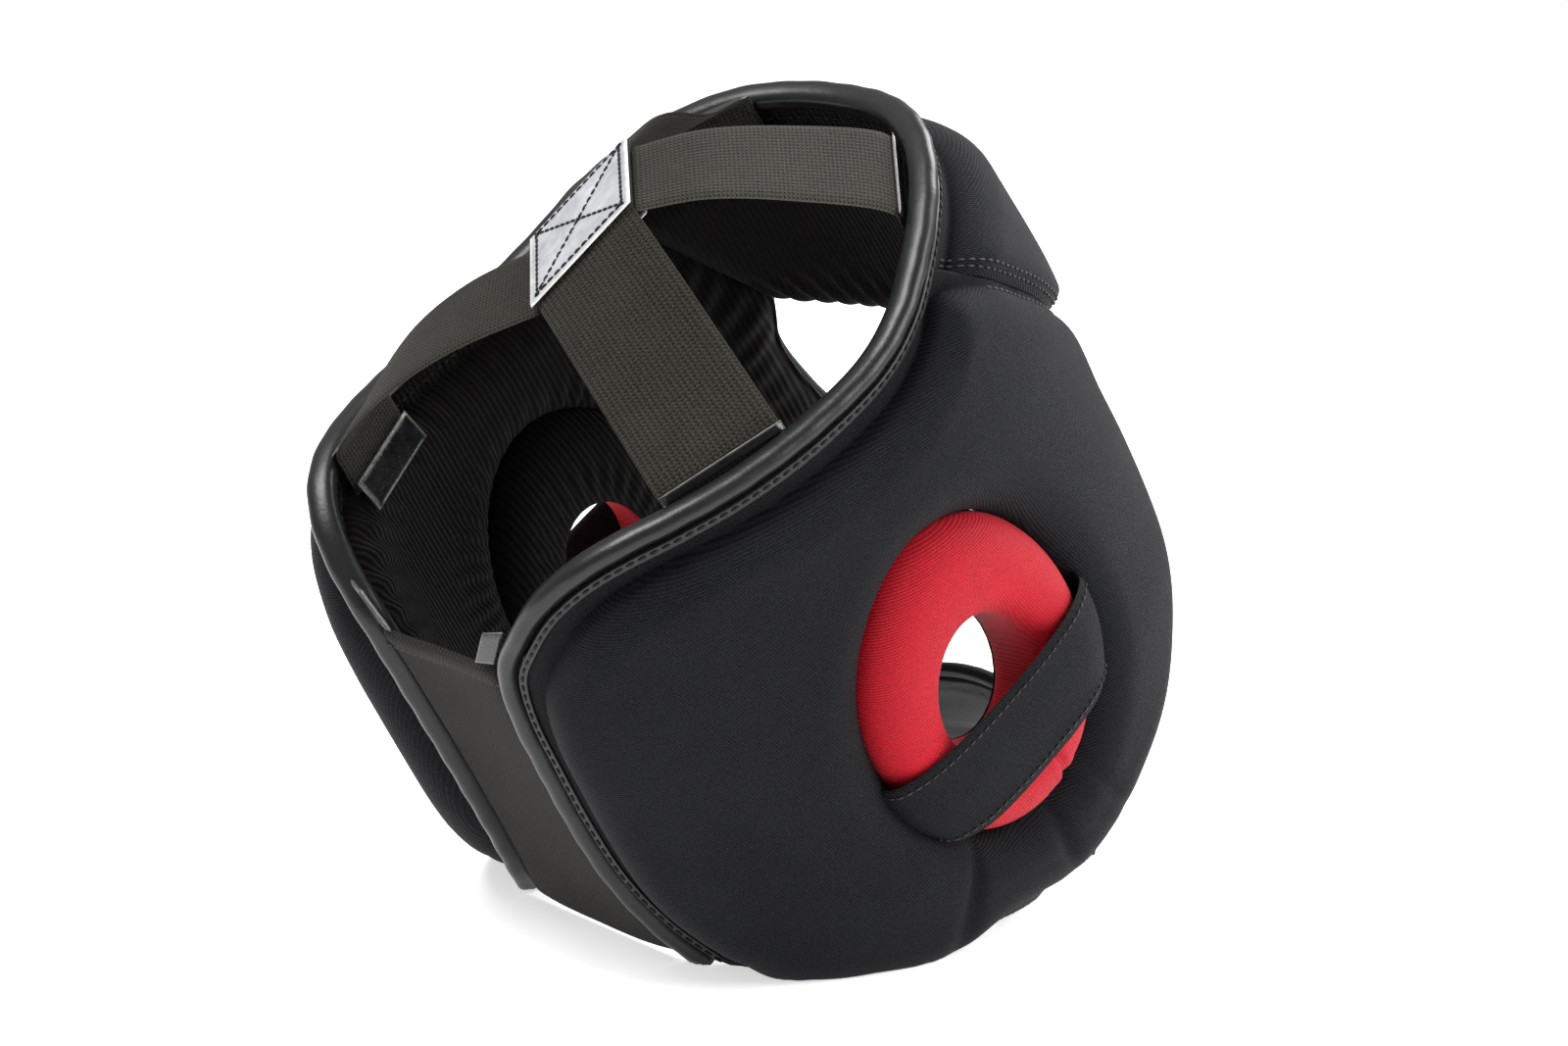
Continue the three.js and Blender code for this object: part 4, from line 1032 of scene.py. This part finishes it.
def crown_straps():
    upper = [corner(*at, LAYER) for at in ((-1, -1), (-1, 1), (1, -1), (1, 1))]
    lower = [corner(*at, -LAYER) for at in ((1, 1), (-1, 1), (1, -1), (-1, -1))]
    crown_strap("crown_strap_one", ARMS["front_left"], upper[:2], ARMS["back_right"], upper[2:], -1)
    crown_strap("crown_strap_two", ARMS["back_left"], lower[:2], ARMS["front_right"], lower[2:], 1)


def crown_patch(name, side):
    """A leather square with raw, slightly curled edges; its pale grey-white colour is a painted
    highlight.
    """
    inner = side * (LAYER + STRAP_THICKNESS / 2 + SEWN_GAP)
    reach = PATCH_SPREAD * PATCH_SIZE / STRAP_WIDTH
    share, level = rounded_band(30)
    rows = np.linspace(-1, 1, 30)[:, None]
    edge = np.maximum(np.abs(rows), np.abs(2 * share))
    sunk = 0.35 * bell(edge - PATCH_STITCH, 0.035)
    diagonal = np.minimum(np.abs(rows - 2 * share), np.abs(rows + 2 * share))
    sunk = sunk + 0.3 * bell(diagonal, 0.04) * (edge < 0.9)
    thick = mix(0.5, level, np.clip((1 - np.abs(rows)) * 9, 0, 1) ** 0.5)
    lift = inner + side * (PATCH_THICKNESS * thick - sunk * (level > 0.5))
    lift = lift + side * 5 * np.clip(edge - 0.9, 0, 1) * (level > 0.5)
    points = (CROSSING + FIRST * (share * STRAP_WIDTH * reach)[None, :, None]
              + SECOND * (rows * STRAP_WIDTH / 2 * reach)[..., None]
              + CROSSING_NORMAL * lift[..., None])
    marks = np.clip((edge - 0.975) / 0.015, 0, 1)
    chart = stacked(share * PATCH_SIZE, rows * PATCH_SIZE / 2)
    piece = body("soft_" + name, points, chart, marks=marks)
    finished(piece, PATCH, name)


def slab(name, corners, thickness, node=None, raw="round"):
    """A thin leather piece from four corners of its face, raw all round or on its last edge."""
    a, b, c, d = (np.asarray(p, float) for p in corners)
    share, level = rounded_band(18)
    rows = np.linspace(0, 1, 14)[:, None, None]
    wide = (share + 0.5)[None, :, None]
    face = mix(mix(a, b, wide), mix(c, d, wide), rows)
    ends = np.clip((0.5 - np.abs(rows[..., 0] - 0.5)) * 14, 0, 1) ** 0.5
    thick = mix(0.5, level, ends)
    points = face + thickness * thick[..., None]
    edge = np.maximum(np.abs(2 * share)[None], np.abs(2 * rows[..., 0] - 1))
    if raw == "last":
        edge = rows[..., 0] + 0 * share[None]
    marks = np.clip((edge - 0.93) / 0.04, 0, 1) * (0.8 if raw == "last" else 0.35)
    chart = stacked(share * 30, rows[..., 0] * 14)
    finished(body("soft_" + name, points, chart, marks=marks), TAB, node)


def strap_tab(name, arm):
    def face(down, inner):
        ends = np.array([arm_end(arm, -1, down), arm_end(arm, 1, down)])
        inward = unit(np.cross(ends[1] - ends[0], [0, 0, 1]))
        if inward @ (np.array([0, OVAL_CENTRE_Y, 0]) - ends[0]) < 0:
            inward = -inward
        return ends + inward * inner, inward

    near = STRAP_THICKNESS / 2 + 2 * SEWN_GAP
    top, inward = face(TAB_DROP, near)
    low, _ = face(TAB_DROP + TAB_LENGTH, near + TAB_LEAN)
    slab(name, [*top, *low], inward * TAB_THICKNESS, name)


def arm_strip(name, arm):
    """The raw-edged leather strip that trims an arm where it meets the binding."""
    low, high = -PIPING_WIDTH + 1.0, -PIPING_WIDTH - 2.2
    ends = [arm_end(arm, side, down) for down in (low, high) for side in (-1, 1)]
    face_way = unit(np.cross(ends[1] - ends[0], ends[2] - ends[0]))
    if face_way @ (ends[0] - np.array([0, OVAL_CENTRE_Y, ends[0][2]])) < 0:
        face_way = -face_way
    lifted = [end + face_way * (STRAP_THICKNESS / 2 + 0.25) for end in ends]
    slab(name, lifted, face_way * 1.1, raw="last")


# Back panel
def back_edge_arc(z):
    """Where the right back edge is at a height."""
    rows = [row for row in rim_rows() if row[0] < arc_of(45)]
    return np.interp(z, [row[1] for row in rows], [row[0] for row in rows])


def panel_reach(z):
    """Half the panel's width at a height, clear of the binding."""
    slope = (back_edge_arc(z + 2) - back_edge_arc(z - 2)) / 4
    margin = PIPING_WIDTH + 3 * PIPING_GAP + SEWN_GAP
    return back_edge_arc(z) - margin * np.hypot(1, slope)


def back_panel():
    share, level = rounded_band(40)
    z = np.linspace(PANEL_BOTTOM, PANEL_TOP, 60)[:, None]
    knots = np.linspace(PANEL_BOTTOM, PANEL_TOP, 7)
    half = np.interp(z, knots, panel_reach(knots))
    arc = 2 * share * half
    hem = np.exp(-((z - PANEL_TOP + 3) / 3.2) ** 4)
    ends = np.clip((PANEL_TOP - z) / 1.5, 0, 1) * np.clip((z - PANEL_BOTTOM) / 1.5, 0, 1)
    thick = PANEL_THICKNESS * (1 + 0.5 * hem) * mix(0.5, level, ends**0.5)
    sag = PANEL_SAG * (1 - (2 * share) ** 2)
    ripple = 0.5 * noise_wave(arc, z, 7.7, 13)
    offset = -PANEL_THICKNESS / 2 + thick - sag + ripple
    piece = body("soft_back_panel", shell(arc, z, offset), stacked(arc, z), rested=True)
    finished(piece, LOOP_FABRIC, "back_panel")


def back_panel_tab(side):
    base = PANEL_TOP + 2 * SEWN_GAP
    top = base + PANEL_TAB_HEIGHT
    sign = 1 if side == "right" else -1
    points = []
    for z in (base, top):
        outer = panel_reach(z)
        points += [shell(sign * outer, z, -0.8), shell(sign * (outer - PANEL_TAB_WIDTH), z, -0.8)]
    outward_way = unit(shell(sign * outer, top, 1) - shell(sign * outer, top, 0))
    name = "back_panel_tab_" + side
    slab(name, points, outward_way * 1.6, name)


def care_label():
    """The label hangs square from the slanting lower edge of the brow's lining."""
    start, end = (np.array([arc_of(BROW_TABLE[k][2]), height_of(BROW_TABLE[k][3])])
                  for k in (2, 4))
    along = unit(end - start)
    down_way = np.array([along[1], -along[0]])
    share, level = rounded_band(18)
    down = np.linspace(0, 1, 24)[:, None]
    curl = 1.2 * np.sin(down * 3) * np.sin(share * 3)
    offset = -1 - LABEL_THICKNESS * (1 - level) - LABEL_LEAN * down + curl
    flat = (mix(start, end, 0.5) + along * (share * LABEL_WIDTH)[None, :, None]
            + down_way * (LABEL_GAP + down * LABEL_HEIGHT)[..., None])
    chart = stacked(share * LABEL_WIDTH, down * LABEL_HEIGHT)
    piece = body("soft_care_label", shell(flat[..., 0], flat[..., 1], offset), chart)
    finished(piece, LABEL, "care_label")


# Chin cup and its straps
def chin_point(across, up, out):
    """A point of the bowed cup, from its middle."""
    bow = (across / (CUP_LENGTH / 2)) ** 2
    return stacked(across, CUP_Y - out + CUP_BOW * bow, CUP_Z + up)


def chin_cup():
    span = np.linspace(-1, 1, 60)[:, None]
    up = np.linspace(-1, 1, 24)
    both = np.concatenate([up, up[::-1]])
    side = np.concatenate([np.ones(24), -np.ones(24)])
    high = CUP_HEIGHT / 2 * np.sqrt(np.maximum(1 - span**4, 0.06))
    thick = CUP_THICKNESS / 2 * np.maximum(1 - span**4, 0.2) * np.maximum(1 - both**4, 0.2)
    quilt = 0.6 * bell(both, 0.06) * (np.abs(span) < 0.7)
    points = chin_point(span * CUP_LENGTH / 2, both * high, side * (thick - quilt))
    chart = stacked(span * CUP_LENGTH / 2, both * CUP_HEIGHT / 2)
    piece = body("soft_chin_cup", points, chart, rested=True)
    finished(piece, CUP_LEATHER, "chin_cup")


def chin_piping():
    turn = np.linspace(0, math.tau, 160, endpoint=False)[:, None]
    roll = np.linspace(0, math.tau, 14, endpoint=False)
    squared = 0.62
    grow = CUP_PIPING_SEAT + CUP_PIPING_WIDTH / 2 * (1 + np.cos(roll))
    across = (CUP_LENGTH / 2 + grow) * bent(np.cos(turn), squared)
    up = (CUP_HEIGHT / 2 + grow) * bent(np.sin(turn), squared)
    out = CUP_PIPING_WIDTH / 2 * np.sin(roll)
    chart = stacked(roll * 2.5, turn * 40)
    piece = body("soft_chin_cup_piping", chin_point(across, up, out), chart, wrap=True, rested=True)
    finished(piece, BINDING, "chin_cup_piping")


def jaw_height(arc):
    """The jaw edge's height at a length round the shell."""
    rows = [row for row in SIDE_ROWS[SEAMED:] if row[1] < height_of(-0.5)]
    return np.interp(arc, [row[0] for row in rows[::-1]], [row[1] for row in rows[::-1]])


def chin_strap(side):
    half = CHIN_STRAP_WIDTH / 2
    end = CUP_LENGTH / 2 + CUP_PIPING_WIDTH + CUP_PIPING_SEAT + 0.7

    def edge(way):
        foot = arc_of(CHIN_STRAP_ANGLE) + way * half
        bend = arc_of(CHIN_STRAP_ANGLE) + way * half * 0.9 + 6
        points = [
            shell(foot, jaw_height(foot) - CHIN_STRAP_SEAT, -1),
            shell(bend, height_of(-1.06), -8),
            shell(arc_of(100), height_of(-1.1) - way * half * 0.7, -14),
            chin_point(-end - 8, -way * half, -1),
            chin_point(-end, -way * half, 0),
        ]
        return curve_through(points, 14)

    strap = band(edge(-1), edge(1), CHIN_STRAP_THICKNESS, CHIN_STRAP_WIDTH, 18)
    name = "chin_strap_" + side
    piece = body("soft_" + name, *strap, mirror=side == "left", rested=True)
    finished(piece, CHIN_WEBBING, name)


# Seams
def mirrored(line):
    return line * np.array([-1, 1, 1])


def pad_line(side, first, last, distance, lift):
    """A line on a side pad at a distance in from its edge, between two places of its outline."""
    rays = Rays(SIDE_LINES[side][first * OUTLINE_STEPS:last * OUTLINE_STEPS])
    inside = np.full((len(rays.arc), 1), distance)
    arc, z = rays.where(inside)
    return shell(arc, z, side_offset(rays, inside) + lift)[:, 0]


def edge_stitches():
    """A line of thread through the binding's lip, and one on the linings."""
    line = edge_line(8)
    inward = -outward(line)
    lip = line + inward * LIP_STITCH
    outer = shell(lip[:, 0], lip[:, 1], LIP_BASE + LIP_THICKNESS + 0.1)
    stitches("edge_stitches", [outer], DARK_THREAD, pitch=3.6, length=2.9,
             width=0.9)
    inside = line + inward * LINING_STITCH
    inner = shell(inside[:, 0], inside[:, 1], -LINING_EDGE * LINING_RISE - 0.9)
    stitches("edge_stitches_inside", [inner], DARK_THREAD, pitch=3.4)


def temple_stitches():
    """Two rows of thread on the brow's side of each temple seam, and one on the pad's side."""
    brow, _ = brow_surface(0.3)
    lines = [brow[k, 3:38] for k in (9, 16, -10, -17)]
    lines.append(pad_line("right", PIPED, SEAMED - 1, 3.0, 0.3))
    lines.append(mirrored(pad_line("left", PIPED, SEAMED - 1, 3.0, 0.3)))
    stitches("temple_stitches", lines, GREY_THREAD, pitch=3.2)


def strap_stitches():
    """Stitching through the leather squares, the strap ends and the tabs."""
    top = LAYER + STRAP_THICKNESS / 2 + SEWN_GAP + PATCH_THICKNESS
    reach = PATCH_STITCH * PATCH_SIZE / STRAP_WIDTH
    ring = [(-1, -1), (1, -1), (1, 1), (-1, 1), (-1, -1)]

    def run(points, layer):
        knots = np.array([corner(a * reach, b * reach, layer) for a, b in points])
        share = np.linspace(0, len(knots) - 1, 12 * (len(knots) - 1) + 1)
        return np.stack([np.interp(share, range(len(knots)), knots[:, k]) for k in range(3)], -1)

    lines = []
    for layer in (top - 0.15, -top + 0.15):
        lines += [run(ring, layer), run([(-1, -1), (1, 1)], layer), run([(-1, 1), (1, -1)], layer)]
    stitches("patch_stitches", lines, DARK_THREAD, pitch=2.8, length=2.7,
             width=1.1)
    sides = np.linspace(-0.92, 0.92, 14)
    ends = [np.array([arm_end(arm, side, down) for side in sides])
            for arm in ARMS.values() for down in (1.5, 4.5)]
    centre = np.array([0, OVAL_CENTRE_Y, 80.0])
    inner = [line + unit(centre - line) * (STRAP_THICKNESS / 2 + 0.1) for line in ends]
    stitches("strap_end_stitches", inner, DARK_THREAD, pitch=2.9)


def ear_stitches():
    """Hem threads along both edges of each ear strap."""
    lines = []
    for share in (-0.41, 0.41):
        arc, z, lift = ear_strap_place(np.array([share]), EAR_STRAP_THICKNESS + 0.05)
        lines.append(shell(arc[3:-3, 0], z[3:-3, 0], lift[3:-3, 0]))
    lines += [mirrored(line) for line in lines]
    stitches("ear_strap_stitches", lines, GREY_THREAD, pitch=2.9, width=0.6)


def panel_stitches():
    """Thread under the hem of the back panel, on both of its faces."""
    z = PANEL_TOP - 6.5
    share = np.linspace(-0.97, 0.97, 50)
    arc = share * float(panel_reach(z))
    sag = PANEL_SAG * (1 - share**2)
    faces = (PANEL_THICKNESS / 2 + 0.15, 0.5 - PANEL_THICKNESS)
    lines = [shell(arc, z, face - sag) for face in faces]
    stitches("panel_stitches", lines, GREY_THREAD, pitch=3.0)


# Studio: camera, light and floor
PHOTO_WIDTH, PHOTO_HEIGHT = 1600, 1067
EAR_PIXEL = (990, 697)
EAR_POINT = np.array([-101.0, PLACE_Y, EAR_HEIGHT])
TURN, ELEVATION = math.radians(48), math.radians(15)
DISTANCE, PIXELS_PER_MM = 1000.0, 3.6
SKY_LIGHT, FLOOR_GLOW, FLOOR_REACH, AIM_HEIGHT = 0.45, 0.58, 30, 0.12


def camera():
    turn = math.pi + TURN
    right = np.array([math.cos(turn), math.sin(turn), 0])
    back = np.array([math.sin(turn) * math.cos(ELEVATION), -math.cos(turn) * math.cos(ELEVATION),
                     math.sin(ELEVATION)])
    up = np.cross(back, right)
    aside = (EAR_PIXEL[0] - PHOTO_WIDTH / 2) / PIXELS_PER_MM
    below = (EAR_PIXEL[1] - PHOTO_HEIGHT / 2) / PIXELS_PER_MM
    eye = (EAR_POINT - right * aside + up * below + back * DISTANCE) * METRE
    data = bpy.data.cameras.new("camera")
    data.sensor_width = 36
    data.lens = data.sensor_width * DISTANCE * PIXELS_PER_MM / PHOTO_WIDTH
    made = added("camera", data)
    axes = Matrix([[right[i], up[i], back[i]] for i in range(3)]).to_4x4()
    made.matrix_world = Matrix.Translation(Vector(eye)) @ axes
    bpy.context.scene.camera = made
    return right, up, back


def softbox(name, place_at, size, power):
    data = bpy.data.lights.new(name, "AREA")
    data.shape, data.size, data.energy = "SQUARE", size, power
    made = added(name, data)
    made.location = Vector(place_at)
    away = made.location - Vector((0, 0, AIM_HEIGHT))
    made.rotation_euler = away.to_track_quat("Z", "Y").to_euler()


def studio():
    right, up, back = camera()
    floor_mesh = bpy.data.meshes.new("floor")
    signs = ((-1, -1), (1, -1), (1, 1), (-1, 1))
    corners = [(x * FLOOR_REACH, y * FLOOR_REACH, 0) for x, y in signs]
    floor_mesh.from_pydata(corners, [], [(0, 1, 2, 3)])
    floor = added("floor", floor_mesh)
    floor.location.z = -0.2 * METRE
    paper = Finish("studio_paper", 0.9, glow=FLOOR_GLOW, glow_colour=(1, 1, 1, 1), gloss=0.2)
    cloud = paper.grain(400)
    tone = paper.blend(cloud, (0.9, 0.9, 0.9, 1), (0.93, 0.93, 0.93, 1))
    floor_mesh.materials.append(paper.feed(colour=tone))
    world = bpy.data.worlds.new("studio_sky")
    world.use_nodes = True
    sky = world.node_tree.nodes["Background"]
    sky.inputs["Color"].default_value = (1, 1, 1, 1)
    sky.inputs["Strength"].default_value = SKY_LIGHT
    bpy.context.scene.world = world
    bpy.context.scene.view_settings.view_transform = "Standard"

    def at(aside, above, behind):
        return right * aside + up * above + back * behind + np.array([0, 0, AIM_HEIGHT])

    softbox("key", at(-0.8, 1.6, 0.5), 0.8, 34)
    softbox("fill", at(1.4, 0.7, 0.5), 1.0, 22)
    softbox("rim", at(0.9, 1.3, -0.7), 0.9, 26)


for hand in ("right", "left"):
    side_pad(hand)
    side_lining(hand)
    ear_ring(hand, lined=False)
    ear_ring(hand, lined=True)
    ear_strap(hand)
    back_panel_tab(hand)
    chin_strap(hand)
brow_pad()
brow_lining()
edge_piping()
binding_lip()
crown_straps()
crown_patch("crown_patch_top", 1)
crown_patch("crown_patch_bottom", -1)
for place_name, place_arm in ARMS.items():
    strap_tab("strap_tab_" + place_name, place_arm)
    arm_strip("arm_strip_" + place_name, place_arm)
back_panel()
care_label()
chin_cup()
chin_piping()
edge_stitches()
temple_stitches()
strap_stitches()
ear_stitches()
panel_stitches()
studio()
